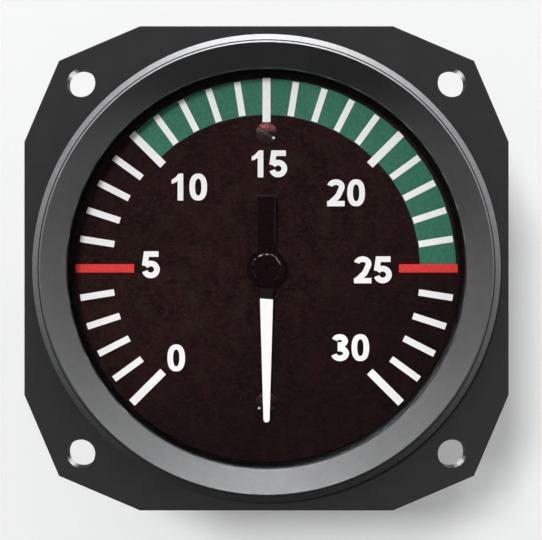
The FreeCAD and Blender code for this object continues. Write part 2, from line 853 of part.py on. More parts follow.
def make_bobbin_half(label, way):
    """Half of the moulded bobbin: four corner posts, crossed coil channels, the tower round the
    arbor, and half of the magnet's chamber. It is drawn for way 1, in front of the middle, and
    turned over for way -1."""
    body = new_body(label)
    height = s.bobbin_half_height
    wide = s.bobbin_radius + 1
    half = s.channel_half_width
    over_inner = s.inner_coil_half_height - s.coil_clearance / 2
    over_outer = outer_coil_half_height - s.coil_clearance / 2
    middle = movement_middle if way > 0 else -movement_middle

    def crossing(drawing, left, low, right, high):
        drawing.rectangle(left, low, right, high)
        drawing.circle(0, 0, s.tower_radius)

    pad(body, "blank", round_disc(s.bobbin_radius), middle, middle + height)
    cut(body, "inner_channel", lambda drawing: crossing(drawing, -wide, -half, wide, half),
        middle + over_inner, middle + height)
    cut(body, "outer_channel", lambda drawing: crossing(drawing, -half, -wide, half, wide),
        middle + over_outer, middle + height)
    core = s.core_half_width

    def side_slots(drawing):
        drawing.rectangle(core, -half, wide, half)
        drawing.rectangle(-wide, -half, -core, half)
        drawing.rectangle(-half, core, half, wide)
        drawing.rectangle(-half, -wide, half, -core)
    cut(body, "side_channels", side_slots, middle, middle + height)
    cut(body, "magnet_chamber", round_disc(s.chamber_radius), middle, middle + s.chamber_half_height)
    if way > 0:
        cut(body, "bearing_seat", round_disc(s.bearing_shank_radius), middle, middle + height)
        screw_places = [(-s.post_place, s.post_place), (s.post_place, -s.post_place)]
        hole = s.movement_screw_radius + s.screw_clearance
        cut(body, "screw_holes", circles_at(screw_places, hole), middle, middle + height)
        pocket = s.parking_magnet_radius + s.screw_clearance
        depth = s.parking_magnet_length + s.seat_clearance
        cut(body, "magnet_pocket", circles_at([(-s.post_place, -s.post_place)], pocket),
            middle + height - depth, middle + height)
    else:
        arbor_hole = s.arbor_radius + s.seat_clearance
        cut(body, "arbor_hole", round_disc(arbor_hole), middle, middle + height)
        seat = s.jewel_thick + s.pivot_end_play
        cut(body, "jewel_seat", round_disc(s.jewel_radius), middle + height - seat, middle + height)
        foot = middle + height
        cut(body, "pin_holes", circles_at(post_places, pin_hole), foot - s.pin_seat, foot)
    place(body)
    if way < 0:
        turn_over = FreeCAD.Rotation(FreeCAD.Vector(1, 0, 0), 180)
        body.Placement = FreeCAD.Placement(FreeCAD.Vector(), body.Placement.Rotation * turn_over)
    return body


def make_coil(label, half_height, turn):
    """One winding in two packs, one each side of the arbor, as a rounded frame."""
    body = new_body(label)
    inner_x = s.core_half_width + s.coil_clearance / 2
    outer_x = inner_x + s.coil_thick
    outer_height = half_height + s.coil_thick
    middle = movement_middle
    corner = s.coil_corner
    near = s.tower_radius + s.coil_clearance
    far = s.channel_half_width - s.coil_clearance
    drawing = Drawing(body, "winding_outline", "XZ_Plane", -near)
    drawing.outline([
        (outer_x - corner, middle - outer_height),
        (outer_x, middle - outer_height + corner, corner),
        (outer_x, middle + outer_height - corner),
        (outer_x - corner, middle + outer_height, corner),
        (corner - outer_x, middle + outer_height),
        (-outer_x, middle + outer_height - corner, corner),
        (-outer_x, middle - outer_height + corner),
        (corner - outer_x, middle - outer_height, corner),
    ])
    drawing.rectangle(-inner_x, middle - half_height, inner_x, middle + half_height)
    winding = feature(body, "Pad", "winding", drawing)
    bind(winding, "Length", far - near)
    winding.Reversed = True
    mirrored(body, "both_packs", [winding], "XZ_Plane")
    return place(body, turn=turn)


def make_shield_can():
    body = new_body("shield_can")
    inner = s.bobbin_radius + s.screw_clearance
    turned(body, "cup", [
        (0, can_back),
        (inner + s.can_wall, can_back),
        (inner + s.can_wall, plate_back - s.seat_clearance),
        (inner, plate_back - s.seat_clearance),
        (inner, bobbin_back),
        (0, bobbin_back),
    ])
    cut(body, "pin_holes", circles_at(post_places, s.can_pin_hole_radius), can_back, bobbin_back)
    return place(body)


def make_rods(label, places, radius, low, high, hole=None):
    body = new_body(label)
    pad(body, label + "_rods", circles_at(places, radius, hole), low, high)
    return place(body)


def make_rotor_magnet():
    body = new_body("rotor_magnet")
    half = s.magnet_thick / 2
    draw = round_disc(s.magnet_radius, s.arbor_radius)
    pad(body, "disc", draw, movement_middle - half, movement_middle + half)
    return place(body)


def make_board_spacers():
    body = new_body("board_spacers")
    depth = s.board_spacer_hole_depth
    pad(body, "rods", circles_at(dial_screw_places, s.board_spacer_radius), board_front, plate_back)
    cut(body, "front_threads", circles_at(dial_screw_places, dial_screw_hole),
        plate_back - depth, plate_back)
    rear_hole = s.board_screw_radius + s.screw_clearance
    cut(body, "rear_threads", circles_at(dial_screw_places, rear_hole), board_front, board_front + depth)
    return place(body)


def make_circuit_board():
    body = new_body("circuit_board")
    pad(body, "disc", round_disc(ledge_radius - s.board_inset), board_back, board_front)
    screw_hole = s.board_screw_radius + s.screw_clearance
    cut(body, "screw_holes", circles_at(dial_screw_places, screw_hole), board_back, board_front)
    cut(body, "pin_holes", circles_at(post_places, pin_hole), board_back, board_front)
    return place(body)


def make_driver_chip():
    """Moulded body with a row of bent leads on each long side."""
    body = new_body("driver_chip")
    pitch, thick, reach = s.chip_lead_pitch, s.chip_lead_thick, s.chip_lead_reach
    first_x = -pitch * ((CHIP_LEADS_PER_SIDE - 1) / 2)
    length, width = s.chip_end_margin - first_x, s.chip_half_width
    back = board_back - s.chip_height
    pad(body, "moulding", lambda drawing: drawing.rectangle(-length, -width, length, width),
        back, board_back - thick)
    shoulder = board_back - s.chip_height / 2
    drawing = Drawing(body, "lead_profile", "YZ_Plane", first_x - s.chip_lead_width / 2)
    knee = width + (reach - width) / 2
    drawing.outline([
        (width - thick, shoulder),
        (knee - thick, shoulder),
        (knee - thick, board_back - thick),
        (reach, board_back - thick),
        (reach, board_back),
        (knee - thick * 2, board_back),
        (knee - thick * 2, shoulder + thick),
        (width - thick, shoulder + thick),
    ])
    lead = feature(body, "Pad", "lead", drawing)
    bind(lead, "Length", s.chip_lead_width)
    row = in_line(body, "lead_row", [lead], "X_Axis", pitch, CHIP_LEADS_PER_SIDE)
    body.Tip = both_lead_rows(body, lead, row)
    return place(body, y=s.chip_to_screw - dial_screw_place)


def both_lead_rows(body, lead, row):
    """Both rows of leads: the row in line, and its mirror image on the other side."""
    both = body.newObject("PartDesign::MultiTransform", "both_rows")
    body.Tip = row
    mirror = body.newObject("PartDesign::Mirrored", "other_side")
    support = [face for face in body.Origin.OriginFeatures if face.Role == "XZ_Plane"][0]
    mirror.MirrorPlane = (support, [""])
    both.Originals = [lead]
    both.Transformations = [row, mirror]
    return both


def make_voltage_regulator():
    """Moulded block on a metal tab, with two legs."""
    body = new_body("voltage_regulator")
    wide, long = s.regulator_half_width, s.regulator_half_length
    tab = s.regulator_tab_thick
    back = board_back - s.regulator_height
    pad(body, "moulding", lambda drawing: drawing.rectangle(-wide, -long, wide, long),
        back, board_back - tab)
    tab_end = -long - s.regulator_tab_length

    def draw_metal(drawing):
        half = s.regulator_tab_half_width
        drawing.rectangle(-half, tab_end, half, s.regulator_tab_under)

    def draw_legs(drawing):
        half = s.regulator_leg_width / 2
        for side in (-1, 1):
            x = s.regulator_leg_place * side
            drawing.rectangle(x - half, long - s.regulator_leg_under,
                              x + half, long + s.regulator_leg_length)
    pad(body, "tab", draw_metal, board_back - tab, board_back)
    pad(body, "legs", draw_legs, board_back - tab, board_back)
    above = s.capacitor_y - s.capacitor_base_half - s.regulator_gap
    return place(body, s.regulator_x, above - s.regulator_leg_length - long)


def make_capacitors():
    """Two cans, each on a square base."""
    body = new_body("capacitors")
    x, y, half = s.capacitor_x, s.capacitor_y, s.capacitor_base_half
    base_back = board_back - s.capacitor_base_thick
    base = pad(body, "base", lambda drawing: drawing.rectangle(x - half, y - half, x + half, y + half),
               base_back, board_back)
    can = pad(body, "can", lambda drawing: drawing.circle(x, y, s.capacitor_radius),
              board_back - s.capacitor_height, base_back)
    mirrored(body, "both", [base, can], "YZ_Plane")
    return place(body)


def make_resistors():
    body = new_body("resistors")
    long, wide = s.resistor_half_length, s.resistor_half_width

    def draw(drawing):
        for side in (-1, 1):
            x = s.resistor_x * side
            for index in range(RESISTORS_PER_SIDE):
                y = s.resistor_first_y + s.resistor_pitch * index
                drawing.rectangle(x - long, y - wide, x + long, y + wide)
    pad(body, "chips", draw, board_back - s.resistor_thick, board_back)
    return place(body)


def make_trimmer(name, side):
    """Trimmer in two pieces: the body on the board and the slotted rotor in it."""
    half, corner = s.trimmer_half_width, s.trimmer_corner
    back = board_back - s.trimmer_height
    floor = back + s.trimmer_rotor_sink
    housing = new_body(name + "_trimmer_body")
    pad(housing, "block", lambda drawing: drawing.outline([
        (half, corner - half),
        (half, half - corner),
        (half - corner, half),
        (corner - half, half),
        (-half, half - corner),
        (-half, corner - half),
        (corner - half, -half),
        (half - corner, -half),
    ]), back, board_back)
    pocket = s.trimmer_rotor_radius + s.trimmer_clearance
    cut(housing, "rotor_pocket", round_disc(pocket), back, floor)
    rotor = new_body(name + "_trimmer_rotor")
    rotor_back = back - s.trimmer_rotor_stand
    pad(rotor, "disc", round_disc(s.trimmer_rotor_radius), rotor_back, floor - s.trimmer_clearance)
    slot = s.trimmer_slot_width / 2
    long = s.trimmer_rotor_radius + 1
    cut(rotor, "slot", lambda drawing: drawing.rectangle(-long, -slot, long, slot),
        rotor_back, rotor_back + s.trimmer_slot_depth)
    return [place(piece, trimmer_x * side, trimmer_y) for piece in (housing, rotor)]


def make_rear_cover():
    body = new_body("rear_cover")
    disc = pad(body, "disc", round_disc(s.barrel_radius), cover_back, cover_front)
    edge_break(body, "rear_edge", disc, s.cover_edge_break,
               lambda edge: len(edge.Vertexes) == 1 and at_level(edge, cover_back))
    stud_seat = s.bushing_radius + s.screw_clearance
    cut(body, "stud_holes", circles_at(stud_places, stud_seat), cover_back, cover_front)
    trimmer_places = [(trimmer_x * side, trimmer_y) for side in (-1, 1)]
    cut(body, "trimmer_holes", circles_at(trimmer_places, s.trimmer_hole_radius), cover_back, cover_front)
    screw_hole = s.cover_screw_radius + s.cover_screw_play
    cut(body, "screw_holes", circles_at(cover_screw_places, screw_hole), cover_back, cover_front)
    return place(body)


def make_cover_gasket():
    """Narrow ring on the barrel's back face, with an ear round each screw."""
    body = new_body("cover_gasket")
    outer = s.barrel_radius - s.seat_clearance
    pad(body, "ring", round_disc(outer, s.barrel_radius - s.barrel_wall), cover_front, barrel_back)
    pad(body, "ears", circles_at(cover_screw_places, s.cover_gasket_ear_radius), cover_front, barrel_back)
    screw_hole = s.cover_screw_radius + s.cover_screw_play
    cut(body, "screw_holes", circles_at(cover_screw_places, screw_hole), cover_front, barrel_back)
    return place(body)


def make_terminal_studs():
    """Three studs, each with a six-sided head inside the cover. The thread stands at its full size
    behind the nut, and the nut and the shank have the size that they share."""
    body = new_body("terminal_studs")
    x = s.stud_circle_radius
    end = s.stud_end_break
    thread_start = nut_back - s.stud_thread_gap
    shank = turned(body, "shank", [
        (0, stud_tip),
        (s.stud_radius - end, stud_tip),
        (s.stud_radius, stud_tip + end),
        (s.stud_radius, thread_start),
        (s.stud_shank_radius, thread_start),
        (s.stud_shank_radius, lug_front),
        (0, lug_front),
    ], x)
    head = pad(body, "head", lambda drawing: drawing.polygon(x, 0, s.stud_head_radius, HEX_SIDES),
               lug_front, lug_front + s.stud_head_height)
    repeated(body, "all_studs", [shank, head], STUD_COUNT)
    return place(body, turn=s.stud_first_angle)


def make_stud_bushings():
    """Insulating sleeve through the cover, with its flange inside."""
    body = new_body("stud_bushings")
    bush = turned(body, "bush", [
        (stud_hole, cover_back),
        (s.bushing_radius, cover_back),
        (s.bushing_radius, cover_front),
        (s.bushing_flange_radius, cover_front),
        (s.bushing_flange_radius, bushing_front),
        (stud_hole, bushing_front),
    ], s.stud_circle_radius)
    repeated(body, "all_bushings", [bush], STUD_COUNT)
    return place(body, turn=s.stud_first_angle)


def make_terminal_nuts():
    """Six-sided nuts with their outer corners turned off."""
    body = new_body("terminal_nuts")
    x = s.stud_circle_radius
    corner, chamfer = s.nut_corner_radius, s.nut_corner_break

    def draw(drawing):
        drawing.polygon(x, 0, corner, HEX_SIDES)
        drawing.circle(x, 0, s.stud_shank_radius + s.screw_clearance)
    nut = pad(body, "nut", draw, nut_back, washer_back)
    corners = turned(body, "corners", [
        (corner - chamfer, nut_back),
        (corner + chamfer, nut_back),
        (corner + chamfer, nut_back + chamfer),
        (corner, nut_back + chamfer),
    ], x, kind="Groove")
    repeated(body, "all_nuts", [nut, corners], STUD_COUNT)
    return place(body, turn=s.stud_first_angle)


def make_solder_lugs():
    """Eyelet under each stud's head, with a tail towards the middle."""
    body = new_body("solder_lugs")
    x, half = s.stud_circle_radius, s.lug_tail_half_width
    ring = pad(body, "ring", round_disc(s.lug_radius, x=x), bushing_front, lug_front)
    tail = pad(body, "tail", lambda drawing: drawing.rectangle(x - s.lug_tail_length, -half, x, half),
               bushing_front, lug_front)
    hole = cut(body, "hole", round_disc(stud_hole, x=x), bushing_front, lug_front)
    repeated(body, "all_lugs", [ring, tail, hole], STUD_COUNT)
    return place(body, turn=s.stud_first_angle)


def make_lead_wires():
    """Straight back from the board, one bend outwards, and along the lug's tail."""
    body = new_body("lead_wires")
    end = s.stud_circle_radius - s.lug_radius - s.wire_end_gap
    bend_end = end - s.wire_lying_length
    start = bend_end - s.wire_bend_radius
    lying = lug_front + s.wire_radius
    bend_level = lying + s.wire_bend_radius
    straight = pad(body, "straight_run", round_disc(s.wire_radius, x=start), bend_level, board_back)
    section = Drawing(body, "bend_section", "XY_Plane", bend_level)
    section.circle(start, 0, s.wire_radius)
    section.axis_at(bend_end)
    bend = feature(body, "Revolution", "bend", section)
    bend.ReferenceAxis = (section.sketch, ["Axis0"])
    bend.Angle = QUARTER_TURN
    bend.Reversed = True
    section = Drawing(body, "lying_section", "YZ_Plane", bend_end)
    section.circle(0, lying, s.wire_radius)
    run = feature(body, "Pad", "lying_run", section)
    bind(run, "Length", s.wire_lying_length)
    repeated(body, "all_wires", [straight, bend, run], STUD_COUNT)
    return place(body, turn=s.stud_first_angle)


def make_all():
    pieces = [
        make_case_body(),
        make_bezel_ring(),
        make_ring("glass_gasket", seated_radius, cone_inner_radius, s.glass_level, gasket_front),
        make_cover_glass(),
        make_ring("spacer_ring", seated_radius, spacer_inner_radius, dial_front, glass_back),
        make_dial(),
        make_screws("dial_screws", dial_screw_place, 2,
                    (s.dial_screw_head_radius, s.dial_screw_head_height),
                    (s.dial_screw_radius, s.dial_screw_length), dial_front, 1,
                    (s.small_slot_width, s.small_slot_depth),
                    turn=90, slot_turn=s.dial_screw_slot_turn - 90),
        make_dial_pillars(),
        make_pointer(),
        make_counterweight(),
        make_pointer_hub(),
        make_arbor(),
        make_stop_arm(),
        make_stop_pin(),
        make_rotor_magnet(),
        make_front_bearing(),
        make_rear_jewel(),
        make_movement_plate(),
        make_screws("movement_screws", post_circle_radius, 2,
                    (s.movement_screw_head_radius, s.movement_screw_head_height),
                    (s.movement_screw_radius, s.movement_screw_length), plate_front, 1,
                    (s.small_slot_width, s.small_slot_depth), turn=-CORNER_ANGLE),
        make_bobbin_half("bobbin_front", 1),
        make_bobbin_half("bobbin_rear", -1),
        make_coil("coil_cosine", s.inner_coil_half_height, 0),
        make_coil("coil_sine", outer_coil_half_height, 90),
        make_shield_can(),
        make_rods("parking_magnet", [(-s.post_place, -s.post_place)], s.parking_magnet_radius,
                  plate_back - s.parking_magnet_length, plate_back),
        make_rods("coil_pins", post_places, s.pin_radius,
                  board_back - s.pin_stand, bobbin_back + s.pin_seat),
        make_board_spacers(),
        make_circuit_board(),
        make_screws("board_screws", dial_screw_place, 2,
                    (s.board_screw_head_radius, s.board_screw_head_height),
                    (s.board_screw_radius, s.board_screw_length), board_back, -1,
                    (s.wide_slot_width, s.small_slot_depth), turn=90),
        make_driver_chip(),
        make_voltage_regulator(),
        make_capacitors(),
        make_resistors(),
        make_lead_wires(),
        make_solder_lugs(),
        make_terminal_studs(),
        make_stud_bushings(),
        make_rods("insulating_washers", stud_places, s.bushing_flange_radius,
                  insulator_back, cover_back, stud_hole),
        make_rods("terminal_washers", stud_places, s.washer_radius, washer_back, insulator_back, stud_hole),
        make_terminal_nuts(),
        make_cover_gasket(),
        make_rear_cover(),
        make_screws("cover_screws", boss_circle_radius, COVER_SCREW_COUNT,
                    (s.cover_screw_head_radius, s.cover_screw_head_height),
                    (s.cover_screw_radius, s.cover_screw_length), cover_back, -1,
                    (s.wide_slot_width, s.wide_slot_depth), turn=CORNER_ANGLE),
    ]
    pieces += make_trimmer("zero", -1)
    pieces += make_trimmer("span", 1)
    return pieces


def check(pieces):
    """Stops on a failed object, an empty or broken shape, or a cut that took nothing away."""
    for thing in document.Objects:
        if "Invalid" in thing.State or "Error" in thing.State:
            raise RuntimeError("failed: " + thing.Name)
        if thing.TypeId in ("PartDesign::Pocket", "PartDesign::Groove"):
            if thing.Shape.Volume >= thing.BaseFeature.Shape.Volume - 1e-6:
                raise RuntimeError("nothing cut: " + thing.Name)
    for piece in pieces:
        if piece.Shape.isNull() or not piece.Shape.isValid() or not piece.Shape.Solids:
            raise RuntimeError("bad shape: " + piece.Label)


def write(pieces):
    os.makedirs("parts", exist_ok=True)
    for piece in pieces:
        piece.Shape.exportStep("parts/%s.step" % piece.Label)


sub_parts = make_all()
document.recompute()
check(sub_parts)
write(sub_parts)
print("%d sub-parts" % len(sub_parts))
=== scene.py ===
import json
import math

import bmesh
import bpy
from mathutils import Euler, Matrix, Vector


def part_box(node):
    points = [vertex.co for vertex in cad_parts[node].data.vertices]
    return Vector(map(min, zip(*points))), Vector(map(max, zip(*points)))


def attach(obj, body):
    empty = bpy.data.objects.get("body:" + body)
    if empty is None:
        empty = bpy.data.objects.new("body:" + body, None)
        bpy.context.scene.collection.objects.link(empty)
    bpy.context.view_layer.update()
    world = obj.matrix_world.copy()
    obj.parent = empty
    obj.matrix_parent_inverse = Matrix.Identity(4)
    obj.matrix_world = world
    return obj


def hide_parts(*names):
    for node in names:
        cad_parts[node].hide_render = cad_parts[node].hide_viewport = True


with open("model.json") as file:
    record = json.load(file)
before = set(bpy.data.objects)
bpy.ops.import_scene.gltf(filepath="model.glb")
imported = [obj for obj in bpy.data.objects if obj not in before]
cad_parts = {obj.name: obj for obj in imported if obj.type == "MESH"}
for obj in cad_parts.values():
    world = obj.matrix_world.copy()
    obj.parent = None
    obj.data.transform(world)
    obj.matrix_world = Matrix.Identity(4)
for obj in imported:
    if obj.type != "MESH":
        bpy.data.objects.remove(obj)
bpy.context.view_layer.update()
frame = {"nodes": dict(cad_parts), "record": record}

MM = 0.001


def level_of(node, side):
    """Level of a node's front (side 0) or back (side 1) along the axis, in millimetres."""
    return round(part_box(node)[side].y / MM, 3)


def mount_sizes(name):
    """The sizes of a mount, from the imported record."""
    return next(mount["dims"] for mount in frame["record"]["mounts"] if mount["name"] == name)


FLANGE_FRONT = level_of("case_body", 0)
DIAL_FRONT = level_of("dial", 0)
STUD_TIP = level_of("terminal_studs", 1)
HOLE_PLACE = mount_sizes("panel_bolts")["spacing_x_mm"] / 2
HOLE_RADIUS = mount_sizes("panel_bolts")["hole_r_mm"]


# Materials.

class Nodes:
    """A node tree that is built up node by node."""

    def __init__(self, tree):
        self.tree = tree
        self.tree.nodes.clear()

    def add(self, kind, inputs=(), **settings):
        node = self.tree.nodes.new(kind)
        for name, value in settings.items():
            setattr(node, name, value)
        for key, value in dict(inputs).items():
            self.feed(node.inputs[key], value)
        return node

    def feed(self, socket, value):
        if isinstance(value, bpy.types.NodeSocket):
            self.tree.links.new(value, socket)
        else:
            socket.default_value = value

    def maths(self, operation, first, second=0.0, clamp=False):
        inputs = {0: first, 1: second}
        return self.add("ShaderNodeMath", inputs, operation=operation, use_clamp=clamp).outputs[0]

    def product(self, first, *others):
        for other in others:
            first = self.maths("MULTIPLY", first, other)
        return first

    def remainder(self, share):
        """What is left of 1 when share is taken away."""
        return self.maths("SUBTRACT", 1.0, share)

    def ramp(self, value, low, high, start=0.0, end=1.0):
        """start below low, end above high, and a smooth change between them."""
        inputs = {"Value": value, "From Min": low, "From Max": high,
                  "To Min": start, "To Max": end}
        return self.add("ShaderNodeMapRange", inputs, interpolation_type="SMOOTHSTEP").outputs[0]

    def ramp_mm(self, value, low, high, start=0.0, end=1.0):
        """The same change over a distance in metres, from low to high in millimetres."""
        return self.ramp(value, low * MM, high * MM, start, end)

    def blend(self, share, first, second):
        inputs = {0: share, 2: first, 3: second}
        return self.add("ShaderNodeMix", inputs, data_type="FLOAT").outputs[0]

    def parts(self, vector):
        return self.add("ShaderNodeSeparateXYZ", {0: vector}).outputs

    def shaders(self, share, first, second):
        return self.add("ShaderNodeMixShader", {0: share, 1: first, 2: second}).outputs[0]


class Paint(Nodes):
    """A procedural material on the object's own coordinates."""

    def __init__(self, name):
        self.material = bpy.data.materials.new(name)
        self.material.use_nodes = True
        super().__init__(self.material.node_tree)
        self.place = self.add("ShaderNodeTexCoord").outputs["Object"]

    def vector(self, operation, first, second=(0, 0, 0)):
        node = self.add("ShaderNodeVectorMath", {0: first, 1: second}, operation=operation)
        return node.outputs["Value" if operation in ("DISTANCE", "DOT_PRODUCT") else "Vector"]

    def joined(self, x=0.0, y=0.0, z=0.0):
        return self.add("ShaderNodeCombineXYZ", {0: x, 1: y, 2: z}).outputs[0]

    def noise(self, size, detail=3.0, rough=0.5, place=None, stretch=None):
        """Noise whose patches are about size millimetres across."""
        place = place or self.place
        if stretch:
            place = self.vector("MULTIPLY", place, stretch)
        inputs = {"Vector": place, "Scale": 1 / (size * MM), "Detail": detail, "Roughness": rough}
        return self.add("ShaderNodeTexNoise", inputs).outputs[0]

    def mix(self, share, first, second):
        inputs = {0: share, 6: colour(first), 7: colour(second)}
        return self.add("ShaderNodeMix", inputs, data_type="RGBA").outputs[2]

    def across(self):
        """The object's coordinates with their part along the axis left out."""
        return self.vector("MULTIPLY", self.place, (1, 0, 1))

    def radius(self):
        """Distance from the axis, in metres."""
        return self.vector("DISTANCE", self.across(), (0, 0, 0))

    def bump(self, height, depth, strength=1.0, normal=None):
        inputs = {"Height": height, "Distance": depth * MM, "Strength": strength}
        if normal:
            inputs["Normal"] = normal
        return self.add("ShaderNodeBump", inputs).outputs[0]

    def surface(self, base, rough, metal=0.0, normal=None, shine=0.5, **others):
        inputs = {"Base Color": colour(base), "Roughness": rough, "Metallic": metal,
                  "Specular IOR Level": shine}
        if normal:
            inputs["Normal"] = normal
        inputs.update(others)
        return self.add("ShaderNodeBsdfPrincipled", inputs).outputs[0]

    def seen(self, *others):
        """1 for the camera's rays, those seen through glass and the other kinds named, else 0."""
        path = self.add("ShaderNodeLightPath").outputs
        share = path["Is Camera Ray"]
        for kind in ("Is Transmission Ray", *others):
            share = self.maths("ADD", share, path[kind], clamp=True)
        return share

    def done(self, shader):
        self.add("ShaderNodeOutputMaterial", {"Surface": shader})
        return self.material


def colour(value):
    """A grey level, three numbers or a socket, as something that a colour socket takes."""
    if isinstance(value, (int, float)):
        return (value, value, value, 1)
    if isinstance(value, (tuple, list)):
        return (*value[:3], 1)
    return value


# Sizes of the patches of colour and of roughness, in millimetres.
PATCH = 2.5
SMALL_PATCH = 1.0
ROUGHNESS_SPREAD = 0.08


def plain_finish(name, light, dark, rough, metal=0.0, grain=0.15, depth=0.003, shine=0.5):
    """Two close colours in soft patches, a fine grain, and a roughness that varies a little."""
    paint = Paint(name)
    patches = paint.noise(PATCH, 4)
    base = paint.mix(paint.ramp(patches, 0.3, 0.7), dark, light)
    normal = paint.bump(paint.noise(grain, 2), depth)
    least, most = rough - ROUGHNESS_SPREAD, rough + ROUGHNESS_SPREAD
    roughness = paint.ramp(paint.noise(SMALL_PATCH, 3), 0.25, 0.75, least, most)
    return paint.done(paint.surface(base, roughness, metal, normal, shine))


# Margins round a mounting hole and behind the flange's face, in millimetres, and the shares of
# the hole's radius over which the outer side of its wall is bare, polished metal, painted bright
# as a painted highlight.
WALL_MARGIN = 0.06
FACE_MARGIN = 0.02
HOLE_HIGHLIGHT_START, HOLE_HIGHLIGHT_END = 0.80, 1.02
POLISH_START = 0.93


def case_paint():
    """Charcoal enamel, with bare metal on the outer side of each mounting hole's wall, painted
    bright there as a painted highlight.
    """
    paint = Paint("charcoal_enamel")
    patches = paint.ramp(paint.noise(3.0, 5), 0.3, 0.7)
    enamel = paint.mix(patches, (0.0263, 0.0250, 0.0263), (0.0285, 0.0271, 0.0285))
    speck = paint.ramp(paint.noise(0.25, 2), 0.68, 0.76)
    enamel = paint.mix(paint.product(speck, 0.25), enamel, (0.075, 0.077, 0.08))
    hole = (HOLE_PLACE * MM, 0, HOLE_PLACE * MM)
    quarter = paint.vector("ABSOLUTE", paint.across())
    to_hole = paint.vector("DISTANCE", quarter, hole)
    in_hole = paint.maths("LESS_THAN", to_hole, (HOLE_RADIUS + WALL_MARGIN) * MM)
    depth = paint.parts(paint.place)[1]
    behind_face = paint.maths("GREATER_THAN", depth, (FLANGE_FRONT + FACE_MARGIN) * MM)
    diagonal = (math.sqrt(0.5), 0, math.sqrt(0.5))
    outward = paint.vector("DOT_PRODUCT", paint.vector("SUBTRACT", quarter, hole), diagonal)
    # Painted highlight: only the outer side of each hole's wall is made bright bare metal, where
    # the light catches it.
    highlight_side = paint.ramp_mm(outward, HOLE_HIGHLIGHT_START * HOLE_RADIUS, HOLE_HIGHLIGHT_END * HOLE_RADIUS)
    polished = paint.ramp_mm(outward, POLISH_START * HOLE_RADIUS, HOLE_RADIUS, 0.34, 0.54)
    bare = paint.product(in_hole, behind_face, highlight_side)
    highlight_metal_colour = paint.mix(paint.noise(0.4, 3), (0.86, 0.86, 0.86), (0.97, 0.97, 0.96))
    base = paint.mix(bare, enamel, highlight_metal_colour)
    rough = paint.ramp(paint.noise(1.2, 3), 0.25, 0.75, 0.62, 0.72)
    rough = paint.maths("SUBTRACT", rough, paint.product(bare, polished))
    normal = paint.bump(paint.noise(0.12, 3), 0.004)
    return paint.done(paint.surface(base, rough, bare, normal, shine=0.04))


# Radii where the cone ends and where the groove lies, and the heights over which painted
# shade darkens the cone, in millimetres.
CONE_RADIUS = 28.34
GROOVE_INNER, GROOVE_OUTER = 28.58, 28.72
CONE_SHADE_START, CONE_SHADE_END = 12.0, 26.0


def bezel_metal():
    """Satin grey turned metal: fine grain, faint turning lines, worn outside the cone, painted
    shade darkening the cone towards its top as in the photograph, and painted shade in the groove."""
    paint = Paint("satin_bezel")
    radius = paint.radius()
    _, depth, height = paint.parts(paint.place)
    lines = paint.noise(0.12, 2, place=paint.joined(radius, depth))
    grain = paint.noise(0.16, 3, 0.6)
    tone = paint.ramp(paint.noise(1.6, 4), 0.25, 0.75)
    base = paint.mix(tone, (0.205, 0.207, 0.212), (0.225, 0.227, 0.232))
    base = paint.mix(paint.ramp(grain, 0.35, 0.75, 0.0, 0.35), base, (0.175, 0.177, 0.182))
    cone = paint.maths("LESS_THAN", radius, CONE_RADIUS * MM)
    base = paint.mix(paint.product(cone, 0.07), base, 1.0)
    # Painted shade: the cone's metal is darkened towards its top.
    dark = paint.ramp_mm(height, CONE_SHADE_START, CONE_SHADE_END, 0.0, 0.6)
    base = paint.mix(paint.product(cone, dark), base, (0.012, 0.010, 0.011))
    worn = paint.ramp(paint.noise(0.24, 3, 0.65), 0.48, 0.66, 0.0, 0.42)
    base = paint.mix(paint.product(worn, paint.remainder(cone)), base, 0.10)
    # Painted shade: the groove is painted near black, rough and not metallic.
    groove = paint.product(paint.maths("GREATER_THAN", radius, GROOVE_INNER * MM),
                           paint.maths("LESS_THAN", radius, GROOVE_OUTER * MM))
    base = paint.mix(groove, base, 0.01)
    rough = paint.ramp(grain, 0.25, 0.75, 0.36, 0.48)
    rough = paint.maths("MAXIMUM", rough, paint.product(groove, 0.9))
    normal = paint.bump(lines, 0.002, 0.5, paint.bump(grain, 0.006))
    return paint.done(paint.surface(base, rough, paint.remainder(groove), normal))


def window_glass():
    """Clear glass for the viewer and in the bezel's reflections. All other light passes straight
    through it, so that the dial is lit once."""
    paint = Paint("clear_glass")
    dust = paint.ramp(paint.noise(0.5, 3), 0.55, 0.8, 0.0, 0.02)
    glass = paint.surface(1.0, dust, **{"Transmission Weight": 1.0, "IOR": 1.45})
    clear = paint.add("ShaderNodeBsdfTransparent").outputs[0]
    return paint.done(paint.shaders(paint.seen("Is Glossy Ray"), clear, glass))


# Painted shade darkens the dial between these heights, in millimetres, measured from a line
# with this slope.
DIAL_SHADE_SLANT = 0.5
DIAL_SHADE_START, DIAL_SHADE_END = -22.0, 4.0


